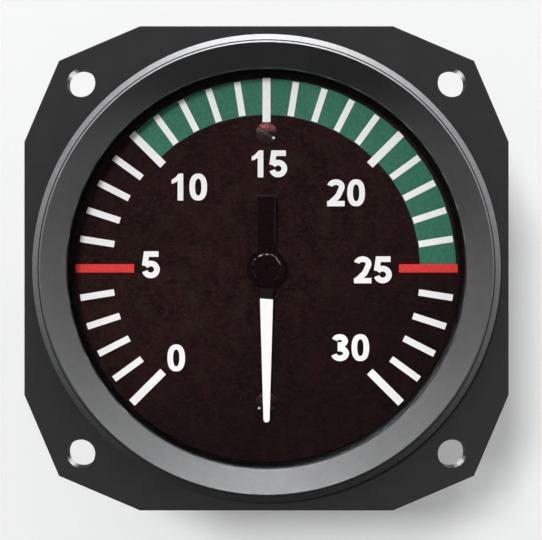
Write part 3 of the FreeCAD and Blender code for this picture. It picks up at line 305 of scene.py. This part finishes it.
def dial_paint():
    """Aged brown-black paint with reddish and olive patches, fine pale specks and small pits,
    and painted shade that makes it darker towards the lower right."""
    paint = Paint("aged_dial")
    broad = paint.noise(4.5, 5, 0.6)
    fine = paint.noise(0.5, 5, 0.68, stretch=(0.55, 1, 1))
    patches = paint.ramp(broad, 0.35, 0.65)
    base = paint.mix(patches, (0.0070, 0.0024, 0.0026), (0.0135, 0.0050, 0.0050))
    base = paint.mix(paint.ramp(fine, 0.38, 0.68, 0.0, 0.9), base, (0.0285, 0.0116, 0.0112))
    olive = paint.ramp(paint.noise(2.2, 3, 0.6), 0.48, 0.70, 0.0, 0.62)
    base = paint.mix(olive, base, (0.0190, 0.0128, 0.0088))
    ruddy = paint.ramp(paint.noise(2.9, 3, 0.6), 0.50, 0.70, 0.0, 0.5)
    base = paint.mix(ruddy, base, (0.0300, 0.0092, 0.0100))
    speck = paint.ramp(paint.noise(0.22, 1), 0.715, 0.78, 0.0, 0.8)
    base = paint.mix(speck, base, (0.09, 0.07, 0.06))
    pit = paint.ramp(paint.noise(0.3, 2), 0.62, 0.72)
    base = paint.mix(pit, base, (0.003, 0.0015, 0.0015))
    # Painted shade: the dial darkens towards the lower right.
    x, _, z = paint.parts(paint.place)
    rise = paint.maths("SUBTRACT", z, paint.product(x, DIAL_SHADE_SLANT))
    painted_shade = paint.ramp_mm(rise, DIAL_SHADE_START, DIAL_SHADE_END, 0.48, 0.0)
    base = paint.mix(painted_shade, base, (0.001, 0.0006, 0.0006))
    rough = paint.ramp(fine, 0.3, 0.7, 0.62, 0.8)
    normal = paint.bump(fine, 0.02, 0.8, paint.bump(paint.noise(0.14, 2), 0.008))
    return paint.done(paint.surface(base, rough, 0.0, normal, shine=0.015))


def printing_ink(name, light, dark):
    """Printed colour, a little worn, with the dial's grain in it."""
    paint = Paint(name)
    fine = paint.noise(0.45, 4, 0.6)
    base = paint.mix(paint.ramp(fine, 0.3, 0.7), dark, light)
    normal = paint.bump(paint.noise(0.15, 2), 0.008)
    return paint.done(paint.surface(base, 0.55, 0.0, normal, shine=0.1))


# Height where the white begins, in millimetres, and the slope of its edge.
LANCE_START = -4.0
LANCE_SLANT = 0.08


def pointer_paint():
    """White lance and black tail of one plate, with dark metal where the lance leaves the hub."""
    paint = Paint("pointer_colours")
    side, _, height = paint.parts(paint.place)
    white = paint.mix(paint.noise(0.6, 3), (0.92, 0.91, 0.89), (0.97, 0.96, 0.95))
    black = paint.mix(paint.noise(0.5, 3), (0.0042, 0.0014, 0.0020), (0.0070, 0.0030, 0.0038))
    bare = paint.mix(paint.noise(0.3, 3), (0.007, 0.0045, 0.005), (0.018, 0.014, 0.014))
    black = paint.mix(paint.maths("LESS_THAN", height, 0.0), black, bare)
    edge = paint.maths("ADD", height, paint.product(side, LANCE_SLANT))
    base = paint.mix(paint.maths("LESS_THAN", edge, LANCE_START * MM), black, white)
    normal = paint.bump(paint.noise(0.2, 2), 0.004)
    return paint.done(paint.surface(base, 0.55, 0.0, normal, shine=0.01))


# Where the hub and the bar carry wear and painted highlights, in millimetres: the rim of the
# hub's disc, the heights over which its rub and painted glints grow towards the top, and the far
# end, near end and right side of the bar, where lighter lines are painted highlights.
RIM_INNER, RIM_OUTER = 1.70, 2.0
RIM_INNER_BLEND, RIM_OUTER_BLEND = 0.08, 0.07
RIM_GLINT_START, RIM_GLINT_END = 0.2, 1.5
BAR_END = 9.36
BAR_START = 2.9
BAR_SIDE = 1.04
BAR_BLEND = 0.04
BAR_START_BLEND = 0.2


def hub_paint():
    """Worn black on the hub and the bar, with small bright rubs. The rim of the hub's disc is
    rubbed bright towards its top, partly wear and partly painted highlight, and lighter lines on
    the bar's far end and right side are painted highlights.
    """
    paint = Paint("worn_glinting_black")
    fine = paint.noise(0.3, 4, 0.6)
    patches = paint.ramp(fine, 0.3, 0.7)
    base = paint.mix(patches, (0.0042, 0.0014, 0.0020), (0.0072, 0.0030, 0.0038))
    rub = paint.ramp(paint.noise(0.35, 2), 0.70, 0.78, 0.0, 0.5)
    base = paint.mix(rub, base, (0.07, 0.05, 0.048))
    radius = paint.radius()
    side, _, height = paint.parts(paint.place)
    # Rubs along the rim of the hub's disc that grow towards the top: partly real wear, partly
    # painted highlight.
    worn = paint.product(
        paint.ramp_mm(radius, RIM_INNER, RIM_INNER + RIM_INNER_BLEND),
        paint.ramp_mm(radius, RIM_OUTER - RIM_OUTER_BLEND, RIM_OUTER, 1.0, 0.0),
        paint.ramp(paint.noise(0.36, 4, 0.7), 0.50, 0.58),
        paint.ramp_mm(height, RIM_GLINT_START, RIM_GLINT_END, 0.04, 1.0))
    base = paint.mix(worn, base, (0.58, 0.48, 0.47))
    # Painted highlights: lighter lines on the bar's far end and along its right side.
    end_highlight = paint.ramp_mm(height, BAR_END, BAR_END + BAR_BLEND, 0.0, 0.5)
    side_highlight = paint.product(
        paint.ramp_mm(side, BAR_SIDE, BAR_SIDE + BAR_BLEND),
        paint.ramp_mm(height, BAR_START, BAR_START + BAR_START_BLEND, 0.0, 0.3))
    base = paint.mix(paint.maths("MAXIMUM", end_highlight, side_highlight), base, (0.075, 0.068, 0.068))
    rough = paint.ramp(fine, 0.3, 0.7, 0.55, 0.65)
    return paint.done(paint.surface(base, rough, 0.0, paint.bump(fine, 0.01, 0.6), shine=0.005))


# The dial's two screws, in millimetres and degrees. Both slots slant alike. The upper screw has
# its painted glint on the right, the lower one on the left.
DIAL_SCREW_PLACE = 17.7
DIAL_SCREW_REACH = 2.0
DIAL_SLOT_SLANT = 36.0
DIAL_SLOT_HALF = 0.178
SCREW_HIGHLIGHT_HEIGHT = 0.9
GLINT_X, GLINT_Z = 0.93, -0.62
GLINT_INNER, GLINT_OUTER = 0.12, 0.24


def dark_screw():
    """Brown-black screw with reddish metal showing through, worn and painted brighter as a
    highlight on the upper half of each head, a painted glint, painted shade in the slot, and the
    lower screw painted darker as shade.
    """
    paint = Paint("blackened_screw")
    fine = paint.noise(0.25, 4, 0.6)
    x, _, z = paint.parts(paint.place)
    side = paint.maths("SIGN", z)
    up = paint.maths("SUBTRACT", paint.maths("ABSOLUTE", z), DIAL_SCREW_PLACE * MM)
    aside = paint.product(x, side)
    rise = paint.product(up, side)
    # Reddish worn metal, painted brighter on the upper half of each head as a painted highlight
    # and mostly left off the lower screw as painted shade.
    rub = paint.product(
        paint.ramp(fine, 0.34, 0.60),
        paint.ramp_mm(rise, 0.0, SCREW_HIGHLIGHT_HEIGHT),
        paint.ramp(side, -1.0, 1.0, 0.12, 1.0))
    # Painted shade: the lower screw's dark base is darker than the upper one's.
    is_upper = paint.maths("GREATER_THAN", side, 0.0)
    dark = paint.mix(is_upper, (0.008, 0.0045, 0.0045), (0.017, 0.011, 0.010))
    base = paint.mix(rub, dark, (0.34, 0.10, 0.095))
    slant = math.radians(DIAL_SLOT_SLANT)
    along_x, along_z = paint.product(aside, math.sin(slant)), paint.product(up, math.cos(slant))
    across = paint.maths("ADD", along_x, along_z)
    # Painted shade: the slot is painted near black and not metallic.
    in_slot = paint.maths("LESS_THAN", paint.maths("ABSOLUTE", across), DIAL_SLOT_HALF * MM)
    near = paint.maths("LESS_THAN", paint.maths("ABSOLUTE", up), DIAL_SCREW_REACH * MM)
    slot_shade = paint.product(in_slot, near)
    base = paint.mix(paint.product(slot_shade, 0.94), base, (0.003, 0.002, 0.002))
    # Painted highlight: a small glint near the rim of each head.
    glint_place = (GLINT_X * MM, 0, GLINT_Z * MM)
    from_glint = paint.vector("DISTANCE", paint.joined(aside, 0.0, rise), glint_place)
    glint = paint.product(paint.ramp_mm(from_glint, GLINT_INNER, GLINT_OUTER, 1.0, 0.0),
                          paint.ramp(fine, 0.35, 0.5))
    base = paint.mix(glint, base, (0.85, 0.80, 0.78))
    rough = paint.ramp(fine, 0.3, 0.7, 0.36, 0.5)
    metal = paint.product(paint.ramp(fine, 0.45, 0.65, 0.3, 0.9), paint.remainder(slot_shade))
    return paint.done(paint.surface(base, rough, metal, paint.bump(fine, 0.01, 0.7), shine=0.1))


# Sizes of the patterns of the wire's turns and of the board's tracks, in millimetres.
WIRE_PATTERN = 0.9
TRACK_PATTERN = 3.4


def wound_wire():
    """Enamelled copper wire, seen as fine turns round the frame."""
    paint = Paint("enamelled_wire")
    inputs = {"Vector": paint.place, "Scale": 1 / (WIRE_PATTERN * MM),
              "Distortion": 0.6, "Detail": 1.0}
    turns = paint.add("ShaderNodeTexWave", inputs, bands_direction="DIAGONAL").outputs[1]
    base = paint.mix(turns, (0.20, 0.055, 0.02), (0.50, 0.19, 0.07))
    return paint.done(paint.surface(base, 0.35, 0.6, paint.bump(turns, 0.03)))


def board_laminate():
    """Green board with copper tracks under the lacquer."""
    paint = Paint("board_laminate")
    weave = paint.noise(0.3, 2, stretch=(1, 1, 3))
    green = paint.mix(weave, (0.010, 0.075, 0.035), (0.016, 0.105, 0.05))
    inputs = {"Vector": paint.across(), "Scale": 1 / (TRACK_PATTERN * MM), "Randomness": 0.7}
    cells = paint.add("ShaderNodeTexVoronoi", inputs, distance="MANHATTAN",
                      feature="DISTANCE_TO_EDGE")
    track = paint.ramp(cells.outputs["Distance"], 0.06, 0.09, 1.0, 0.0)
    base = paint.mix(paint.product(track, 0.6), green, (0.05, 0.20, 0.08))
    return paint.done(paint.surface(base, 0.35, 0.0, paint.bump(track, 0.02)))


FINISHES = {
    "case_paint": case_paint,
    "bezel_metal": bezel_metal,
    "window_glass": window_glass,
    "dial_paint": dial_paint,
    "pointer_paint": pointer_paint,
    "dark_screw": dark_screw,
    "coil_wire": wound_wire,
    "board_laminate": board_laminate,
}
PLAIN_FINISHES = {
    "seal_rubber": dict(light=(0.018, 0.018, 0.019), dark=(0.010, 0.010, 0.011),
                        rough=0.75, grain=0.1),
    "black_paint": dict(light=(0.0022, 0.0022, 0.0024), dark=0.001,
                        rough=0.8, grain=0.1, shine=0.01),
    "brass": dict(light=(0.72, 0.50, 0.20), dark=(0.60, 0.40, 0.15),
                  rough=0.3, metal=1.0),
    "tinned_brass": dict(light=(0.66, 0.64, 0.58), dark=(0.55, 0.52, 0.45),
                         rough=0.32, metal=1.0),
    "steel": dict(light=(0.58, 0.58, 0.57), dark=(0.46, 0.46, 0.46),
                  rough=0.3, metal=1.0),
    "soft_iron": dict(light=(0.36, 0.35, 0.34), dark=(0.26, 0.25, 0.24),
                      rough=0.45, metal=1.0),
    "plate_metal": dict(light=(0.62, 0.60, 0.50), dark=(0.52, 0.49, 0.38),
                        rough=0.35, metal=1.0),
    "cover_paint": dict(light=(0.034, 0.035, 0.037), dark=(0.026, 0.027, 0.029),
                        rough=0.55, grain=0.12),
    "jewel": dict(light=(0.62, 0.05, 0.09), dark=(0.45, 0.02, 0.05),
                  rough=0.08, depth=0.0005),
    "bobbin_plastic": dict(light=(0.62, 0.58, 0.48), dark=(0.52, 0.48, 0.39),
                           rough=0.5),
    "magnet": dict(light=(0.10, 0.10, 0.105), dark=(0.06, 0.06, 0.065),
                   rough=0.5, metal=0.4),
    "chip_plastic": dict(light=(0.022, 0.022, 0.023), dark=(0.014, 0.014, 0.015),
                         rough=0.6, grain=0.08),
    "capacitor_can": dict(light=(0.70, 0.70, 0.71), dark=(0.60, 0.60, 0.61),
                          rough=0.28, metal=1.0),
    "trimmer_plastic": dict(light=(0.03, 0.10, 0.32), dark=(0.02, 0.07, 0.25),
                            rough=0.45),
    "trimmer_rotor": dict(light=(0.72, 0.70, 0.62), dark=(0.62, 0.60, 0.52),
                          rough=0.4),
    "wire_cover": dict(light=(0.42, 0.03, 0.025), dark=(0.33, 0.02, 0.018),
                       rough=0.5, grain=0.1),
    "insulator": dict(light=(0.13, 0.045, 0.022), dark=(0.08, 0.028, 0.014),
                      rough=0.48, grain=0.12),
}
WORN_NODES = ("pointer_hub", "counterweight")
materials = {}


def slot_material(slot):
    """The one material of a slot, made when it is first asked for."""
    if slot not in materials:
        if slot in FINISHES:
            materials[slot] = FINISHES[slot]()
        else:
            materials[slot] = plain_finish(slot + "_finish", **PLAIN_FINISHES[slot])
    return materials[slot]


def dress_nodes():
    """Gives every node the finish of its slot, and the hub and the bar their worn black with
    painted highlights.
    """
    worn_glinting_black = hub_paint()
    for name, node in frame["nodes"].items():
        for place in node.material_slots:
            slot = place.material.name.split(".")[0]
            place.material = worn_glinting_black if name in WORN_NODES else slot_material(slot)


# Printing on the dial.

def new_piece(name, mesh, material, body="case"):
    piece = bpy.data.objects.new(name, mesh)
    bpy.context.scene.collection.objects.link(piece)
    piece.data.materials.append(material)
    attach(piece, body)
    return piece


def as_mesh(shape, name):
    """The finished mesh of a shape, which is freed."""
    mesh = bpy.data.meshes.new(name)
    shape.to_mesh(mesh)
    shape.free()
    return mesh


def ring_at(shape, loop, level):
    """The loop's points (x, z), in millimetres, as vertices of the shape at a level."""
    return [shape.verts.new((x * MM, level * MM, z * MM)) for x, z in loop]


def add_strip(shape, first, second):
    """Four-sided faces between two closed rings with the same number of vertices."""
    for index in range(len(first)):
        after = (index + 1) % len(first)
        shape.faces.new((first[index], first[after], second[after], second[index]))


def prism(outlines, thickness):
    """Mesh of flat outlines on the dial, raised from it by thickness. Each outline is a list of
    one closed loop, or of an outer loop and the loop of its hole with as many points."""
    levels = (DIAL_FRONT, DIAL_FRONT - thickness)
    shape = bmesh.new()
    for loops in outlines:
        rings = [[ring_at(shape, loop, level) for level in levels] for loop in loops]
        for back, front in rings:
            add_strip(shape, back, front)
        for level in (0, 1):
            if len(rings) == 1:
                shape.faces.new(rings[0][level])
            else:
                add_strip(shape, rings[0][level], rings[1][level])
    bmesh.ops.recalc_face_normals(shape, faces=shape.faces)
    return as_mesh(shape, "prism")


def joined_solids(meshes):
    """One mesh from several overlapping ones, with nothing left inside."""
    holder = bpy.data.objects.new("joining", meshes[0])
    bpy.context.scene.collection.objects.link(holder)
    tools = []
    for mesh in meshes[1:]:
        tool = bpy.data.objects.new("joining_tool", mesh)
        bpy.context.scene.collection.objects.link(tool)
        tools.append(tool)
        joining = holder.modifiers.new("join", "BOOLEAN")
        joining.operation = "UNION"
        joining.solver = "EXACT"
        joining.object = tool
    bpy.context.view_layer.update()
    graph = bpy.context.evaluated_depsgraph_get()
    result = bpy.data.meshes.new_from_object(holder.evaluated_get(graph))
    for thing in [holder] + tools:
        bpy.data.objects.remove(thing)
    return result


# The scale: angles in degrees clockwise from 12 o'clock, and marks as inner radius, outer radius
# and width in millimetres. The arc's band is given by its two radii.
FIRST_ANGLE = -135
ANGLE_PER_UNIT = 9
LAST_UNIT = 30
ARC_START, ARC_END = 10, 25
ARC_STEPS_PER_UNIT = 4
LONG_UNITS = (0, 10, 15, 20, 30)
RED_UNITS = (5, 25)
SHORT_MARK = (20.24, 24.76, 0.86)
LONG_MARK = (19.2, 25.0, 1.05)
RED_MARK = (17.4, 25.1, 1.1)
ARC_BAND = (20.15, 24.9)
PRINT_THICK = 0.07
ARC_THICK = 0.03


def direction(unit):
    """Unit vector (x, z) of a scale value."""
    angle = math.radians(FIRST_ANGLE + ANGLE_PER_UNIT * unit)
    return math.sin(angle), math.cos(angle)


def mark_outline(unit, inner, outer, width):
    x, z = direction(unit)
    half = width / 2
    corners = [(inner, -half), (outer, -half), (outer, half), (inner, half)]
    return [[(x * along + z * across, z * along - x * across) for along, across in corners]]


def make_marks(white):
    red = printing_ink("red_print", (0.80, 0.042, 0.036), (0.68, 0.032, 0.027))
    green = printing_ink("green_print", (0.035, 0.172, 0.110), (0.0245, 0.126, 0.080))
    short = [unit for unit in range(LAST_UNIT + 1) if unit not in LONG_UNITS + RED_UNITS]
    outlines = [mark_outline(unit, *SHORT_MARK) for unit in short]
    outlines += [mark_outline(unit, *LONG_MARK) for unit in LONG_UNITS]
    new_piece("scale_marks", prism(outlines, PRINT_THICK), white)
    outlines = [mark_outline(unit, *RED_MARK) for unit in RED_UNITS]
    new_piece("red_marks", prism(outlines, PRINT_THICK), red)
    new_piece("green_arc", arc_mesh(), green)


def arc_mesh():
    """The green band: rows of four-sided faces in front and behind, and its sides."""
    steps = ARC_STEPS_PER_UNIT * (ARC_END - ARC_START)
    units = [ARC_START + step / ARC_STEPS_PER_UNIT for step in range(steps + 1)]
    inner, outer = ARC_BAND
    band = [(outer * x, outer * z) for x, z in map(direction, units)]
    band += [(inner * x, inner * z) for x, z in map(direction, units[::-1])]
    shape = bmesh.new()
    layers = [ring_at(shape, band, level) for level in (DIAL_FRONT, DIAL_FRONT - ARC_THICK)]
    for along in layers:
        back = along[::-1]
        for index in range(steps):
            shape.faces.new((along[index], along[index + 1], back[index + 1], back[index]))
    add_strip(shape, *layers)
    bmesh.ops.recalc_face_normals(shape, faces=shape.faces)
    return as_mesh(shape, "green_arc")


# Bold upright digits drawn with strokes of one width, in millimetres. Each number has the place
# (x, z) of its middle. The parts of a digit are shares of its width and height.
DIGIT_HEIGHT = 3.55
DIGIT_WIDTH = 2.32
DIGIT_GAP = 0.34
STROKE = 0.745
SHARPEST_JOINT = 0.3
NUMBERS = {
    "0": (-11.86, -11.77),
    "5": (-15.18, 0.47),
    "10": (-10.30, 10.67),
    "15": (0.22, 13.72),
    "20": (10.44, 9.92),
    "25": (13.96, -0.20),
    "30": (11.0, -10.42),
}


def ellipse_run(centre, reach, first, last, steps=28, power=2.0):
    """Points of an ellipse, or of a squarer oval for a higher power, from angle to angle."""
    points = []
    for step in range(steps + 1):
        angle = math.radians(first + (last - first) * step / steps)
        x, z = math.cos(angle), math.sin(angle)
        points.append((centre[0] + reach[0] * math.copysign(abs(x) ** (2 / power), x),
                       centre[1] + reach[1] * math.copysign(abs(z) ** (2 / power), z)))
    return points


def stroke(points):
    """Closed loop round a stroke that follows the points."""
    left, right = [], []
    line = [Vector(point) for point in points]
    steps = [(end - start).normalized() for start, end in zip(line, line[1:])]
    for index, point in enumerate(line):
        before = steps[max(index - 1, 0)]
        after = steps[min(index, len(steps) - 1)]
        along = (before + after).normalized()
        side = Vector((-along.y, along.x)) * STROKE / 2 / max(along.dot(after), SHARPEST_JOINT)
        left.append(tuple(point + side))
        right.append(tuple(point - side))
    return left + right[::-1]


def digit_outlines(digit):
    """Outlines of one digit, its lower left corner at the origin."""
    wide, high, pen = DIGIT_WIDTH, DIGIT_HEIGHT, STROKE
    half = pen / 2
    if digit == "0":
        centre = (wide / 2, high / 2)
        outer = ellipse_run(centre, (wide / 2, high / 2), 0, 360, 48, 2.35)[:-1]
        inner = ellipse_run(centre, (wide / 2 - pen, high / 2 - pen * 0.9), 0, 360, 48, 2.3)[:-1]
        return [[outer, inner]]
    if digit == "1":
        stem = wide * 0.48
        flag = [(0.12, 0.86), (0.34, 0.765), (0.34, 0.62), (0.15, 0.66)]
        loop = [(stem, 0), (stem + pen, 0), (stem + pen, high), (stem + pen * 0.2, high)]
        loop += [(stem - left * wide, high * up) for left, up in flag]
        return [[loop + [(stem, high * 0.725)]]]
    if digit == "2":
        top = high * 0.28
        bowl = ellipse_run((wide / 2, high - top), (wide / 2 - half, top - half), 168, -22, 26)
        slope = [(wide * 0.62, high * 0.38), (wide * 0.36, high * 0.22), (wide * 0.20, pen * 0.55)]
        foot = [(0.02, 0), (wide, 0), (wide, pen * 0.95), (0.02, pen * 0.95)]
        return [[stroke(bowl + slope)], [foot]]
    if digit == "3":
        top, low = high * 0.255, high * 0.285
        reach = (wide * 0.46 - half, top - half)
        upper = ellipse_run((wide * 0.48, high - top), reach, 165, -90, 26)
        upper.append((wide * 0.36, upper[-1][1]))
        lower = ellipse_run((wide * 0.49, low), (wide * 0.51 - half, low - half), 90, -166, 28)
        lower.insert(0, (wide * 0.36, lower[0][1]))
        return [[stroke(upper)], [stroke(lower)]]
    if digit == "5":
        low = high * 0.325
        arm = [(wide * 0.93, high - half), (wide * 0.245, high - half), (wide * 0.15, high * 0.46)]
        bowl = ellipse_run((wide * 0.49, low), (wide * 0.51 - half, low - half), 148, -164, 30)
        return [[stroke(arm)], [stroke(bowl)]]
    raise ValueError(digit)


def digit_mesh(digit, x, z):
    """One digit with its lower left corner at x, z on the dial."""
    pieces = []
    for loops in digit_outlines(digit):
        moved = [[(left + x, up + z) for left, up in loop] for loop in loops]
        pieces.append(prism([moved], PRINT_THICK))
    return pieces[0] if len(pieces) == 1 else joined_solids(pieces)


def make_numerals(white):
    shape = bmesh.new()
    advance = DIGIT_WIDTH + DIGIT_GAP
    for text, (x, z) in NUMBERS.items():
        width = advance * len(text) - DIGIT_GAP
        for index, digit in enumerate(text):
            left = x - width / 2 + advance * index
            shape.from_mesh(digit_mesh(digit, left, z - DIGIT_HEIGHT / 2))
    new_piece("numerals", as_mesh(shape, "numerals"), white)


# Threaded ends of the terminals.

# The studs' sizes are the mount's, and the thread's are in millimetres. Its depth at a point is
# a share of THREAD_DEPTH: THREAD_SLOPE times the way from crest to root, less THREAD_FLAT.
STUDS = mount_sizes("terminal_studs")
STUD_CIRCLE = STUDS["pcd_mm"] / 2
STUD_RADIUS = STUDS["stud_r_mm"]
FIRST_STUD_ANGLE = 90
THREAD_START = 46.2
THREAD_PITCH = 0.794
THREAD_DEPTH = 0.36
THREAD_SLOPE = 1.25
THREAD_FLAT = 0.12
TIP_BREAK_LENGTH = 0.4
TIP_BREAK_DEPTH = 0.42
THREAD_SIDES = 48
THREAD_RINGS_PER_TURN = 8
LEVEL_MARGIN = 0.01


def thread_radius(level, turn):
    """Radius of the thread at a level and a share of a turn, with its tip broken."""
    phase = ((level - THREAD_START) / THREAD_PITCH - turn) % 1.0
    groove = 1 - abs(2 * phase - 1)
    cut = min(1.0, max(0.0, groove * THREAD_SLOPE - THREAD_FLAT))
    tip = max(0.0, 1 - (STUD_TIP - level) / TIP_BREAK_LENGTH)
    return min(STUD_RADIUS - THREAD_DEPTH * cut, STUD_RADIUS - TIP_BREAK_DEPTH * tip)


def thread_mesh(centre_x, centre_z):
    """A helical thread round one stud: a closed rod whose radius follows the helix."""
    length = STUD_TIP - THREAD_START
    count = int(length / THREAD_PITCH * THREAD_RINGS_PER_TURN)
    shape = bmesh.new()
    rings = []
    for index in range(count + 1):
        level = THREAD_START + length * index / count
        loop = []
        for side in range(THREAD_SIDES):
            turn = side / THREAD_SIDES
            radius = thread_radius(level, turn)
            angle = 2 * math.pi * turn
            loop.append((centre_x + radius * math.cos(angle), centre_z + radius * math.sin(angle)))
        rings.append(ring_at(shape, loop, level))
    for lower, upper in zip(rings, rings[1:]):
        add_strip(shape, lower, upper)
    for ring in (rings[0], rings[-1]):
        shape.faces.new(ring)
    bmesh.ops.recalc_face_normals(shape, faces=shape.faces)
    return as_mesh(shape, "thread")


def make_studs():
    """The studs of the CAD up to the thread, with a cut thread in place of the plain end."""
    shape = bmesh.new()
    shape.from_mesh(frame["nodes"]["terminal_studs"].data)
    last_level = (THREAD_START + LEVEL_MARGIN) * MM
    behind = [vertex for vertex in shape.verts if vertex.co.y > last_level]
    bmesh.ops.delete(shape, geom=behind, context="VERTS")
    rims = [edge for edge in shape.edges if edge.is_boundary]
    bmesh.ops.holes_fill(shape, edges=rims)
    for index in range(STUDS["count"]):
        angle = math.radians(FIRST_STUD_ANGLE + 360 / STUDS["count"] * index)
        shape.from_mesh(thread_mesh(STUD_CIRCLE * math.cos(angle), STUD_CIRCLE * math.sin(angle)))
    bmesh.ops.recalc_face_normals(shape, faces=shape.faces)
    mesh = as_mesh(shape, "threaded_studs")
    piece = new_piece("threaded_studs", mesh, slot_material("brass"))
    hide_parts("terminal_studs")


# Stage, light and camera.

BACKDROP_LEVEL = STUD_TIP + 0.5
BACKDROP_HALF = 1200.0


def make_backdrop():
    """The pale surface that the gauge lies on, square to the camera. The camera sees it from its
    front only, and all light but what the camera sees passes straight through it."""
    mesh = bpy.data.meshes.new("pale_surface")
    half, level = BACKDROP_HALF * MM, BACKDROP_LEVEL * MM
    square = ((-half, -half), (half, -half), (half, half), (-half, half))
    mesh.from_pydata([(x, level, z) for x, z in square], [], [(0, 1, 2, 3)])
    surface = bpy.data.objects.new("pale_surface", mesh)
    bpy.context.scene.collection.objects.link(surface)
    paint = Paint("pale_surface")
    base = paint.mix(paint.noise(30, 3), (0.825, 0.83, 0.835), (0.845, 0.845, 0.845))
    matt = paint.surface(base, 0.9)
    behind = paint.add("ShaderNodeNewGeometry").outputs["Backfacing"]
    share = paint.product(paint.seen(), paint.remainder(behind))
    clear = paint.add("ShaderNodeBsdfTransparent").outputs[0]
    mesh.materials.append(paint.done(paint.shaders(share, clear, matt)))


# The sky's level by height, from straight below to straight above. Then the ranges of depth,
# from -1 straight in front of the gauge to 1 straight behind it, over which the light changes.
# The camera itself sees a plain pale colour wherever the surface ends.
SKY_LEVEL = 6.6
SKY_STOPS = [(0.0, 0.006), (0.067, 0.008), (0.25, 0.036), (0.5, 0.10), (0.75, 0.22),
             (0.933, 0.44), (1.0, 1.0)]
BEHIND_CAMERA_LEVEL = 0.02
BEHIND_CAMERA_RANGE = (-0.988, -0.95)
FRONT_LEVEL = 0.38
FRONT_RANGE = (-0.65, -0.35)
REAR_LEVEL = 1.7
REAR_RANGE = (0.80, 0.95)
LIGHT_COLOUR = (0.995, 0.998, 1.0)
SEEN_COLOUR = (0.93, 0.935, 0.94)


def make_world():
    """Soft light that is strong from above, weak from the sides and almost nothing from below. In
    front of the gauge it is even, and dark right behind the camera, which the glass mirrors."""
    world = bpy.data.worlds.new("studio")
    bpy.context.scene.world = world
    world.use_nodes = True
    nodes = Nodes(world.node_tree)
    _, depth, height = nodes.parts(nodes.add("ShaderNodeTexCoord").outputs["Generated"])
    rise = nodes.product(nodes.maths("ADD", height, 1.0), 0.5)
    curve = nodes.add("ShaderNodeValToRGB", {0: rise})
    stops = curve.color_ramp.elements
    stops[1].position = 1.0
    for position, _ in SKY_STOPS[1:-1]:
        stops.new(position)
    for stop, (_, level) in zip(stops, SKY_STOPS):
        stop.color = colour(level)
    sky = nodes.product(curve.outputs[0], SKY_LEVEL)
    ahead = nodes.ramp(depth, *BEHIND_CAMERA_RANGE, BEHIND_CAMERA_LEVEL, FRONT_LEVEL)
    level = nodes.blend(nodes.ramp(depth, *FRONT_RANGE), ahead, sky)
    level = nodes.blend(nodes.ramp(depth, *REAR_RANGE), level, REAR_LEVEL)
    lit = nodes.add("ShaderNodeBackground", {0: colour(LIGHT_COLOUR), 1: level}).outputs[0]
    plain = nodes.add("ShaderNodeBackground", {0: colour(SEEN_COLOUR), 1: 1.0}).outputs[0]
    by_camera = nodes.add("ShaderNodeLightPath").outputs["Is Camera Ray"]
    nodes.add("ShaderNodeOutputWorld", {0: nodes.shaders(by_camera, lit, plain)})


# Places and sizes in metres, power in watts.
FRONT_LAMP = dict(place=(-0.275, -1.45, 0.275), target=(0, 0, 0), size=0.18, power=13.8)
REAR_LAMP = dict(place=(0.25, 0.65, 0.35), target=(0, 0.03, 0), size=0.35, power=2.6)


def add_lamp(name, place, target, size, power):
    light = bpy.data.lights.new(name, "AREA")
    light.shape = "SQUARE"
    light.size = size
    light.energy = power
    lamp = bpy.data.objects.new(name, light)
    lamp.location = place
    lamp.rotation_euler = (Vector(target) - Vector(place)).to_track_quat("-Z", "Y").to_euler()
    bpy.context.scene.collection.objects.link(lamp)


# The picture's size and the gauge's middle in it, in pixels. The camera's distance and the width
# that it sees at the flange's front are in millimetres.
IMAGE_WIDTH, IMAGE_HEIGHT = 542, 540
PICTURE_X, PICTURE_Z = 266.5, 268.3
SENSOR_WIDTH = 36.0
CAMERA_DISTANCE = 200.0
FRAME_WIDTH = 68.9
NEAREST, FARTHEST = 0.005, 20


def make_camera():
    camera = bpy.data.cameras.new("camera")
    camera.sensor_width = SENSOR_WIDTH
    camera.lens = SENSOR_WIDTH * CAMERA_DISTANCE / FRAME_WIDTH
    camera.shift_x = (IMAGE_WIDTH / 2 - PICTURE_X) / IMAGE_WIDTH
    camera.shift_y = (PICTURE_Z - IMAGE_HEIGHT / 2) / IMAGE_WIDTH
    camera.clip_start = NEAREST
    camera.clip_end = FARTHEST
    viewer = bpy.data.objects.new("camera", camera)
    viewer.location = (0, (FLANGE_FRONT - CAMERA_DISTANCE) * MM, 0)
    viewer.rotation_euler = Euler((math.radians(90), 0, 0))
    bpy.context.scene.collection.objects.link(viewer)
    bpy.context.scene.camera = viewer


make_camera()
dress_nodes()
white_print = printing_ink("white_print", (0.98, 0.972, 0.968), (0.95, 0.937, 0.93))
make_marks(white_print)
make_numerals(white_print)
make_studs()
make_backdrop()
make_world()
add_lamp("front_lamp", **FRONT_LAMP)
add_lamp("rear_lamp", **REAR_LAMP)
bpy.context.scene.view_settings.view_transform = "Standard"
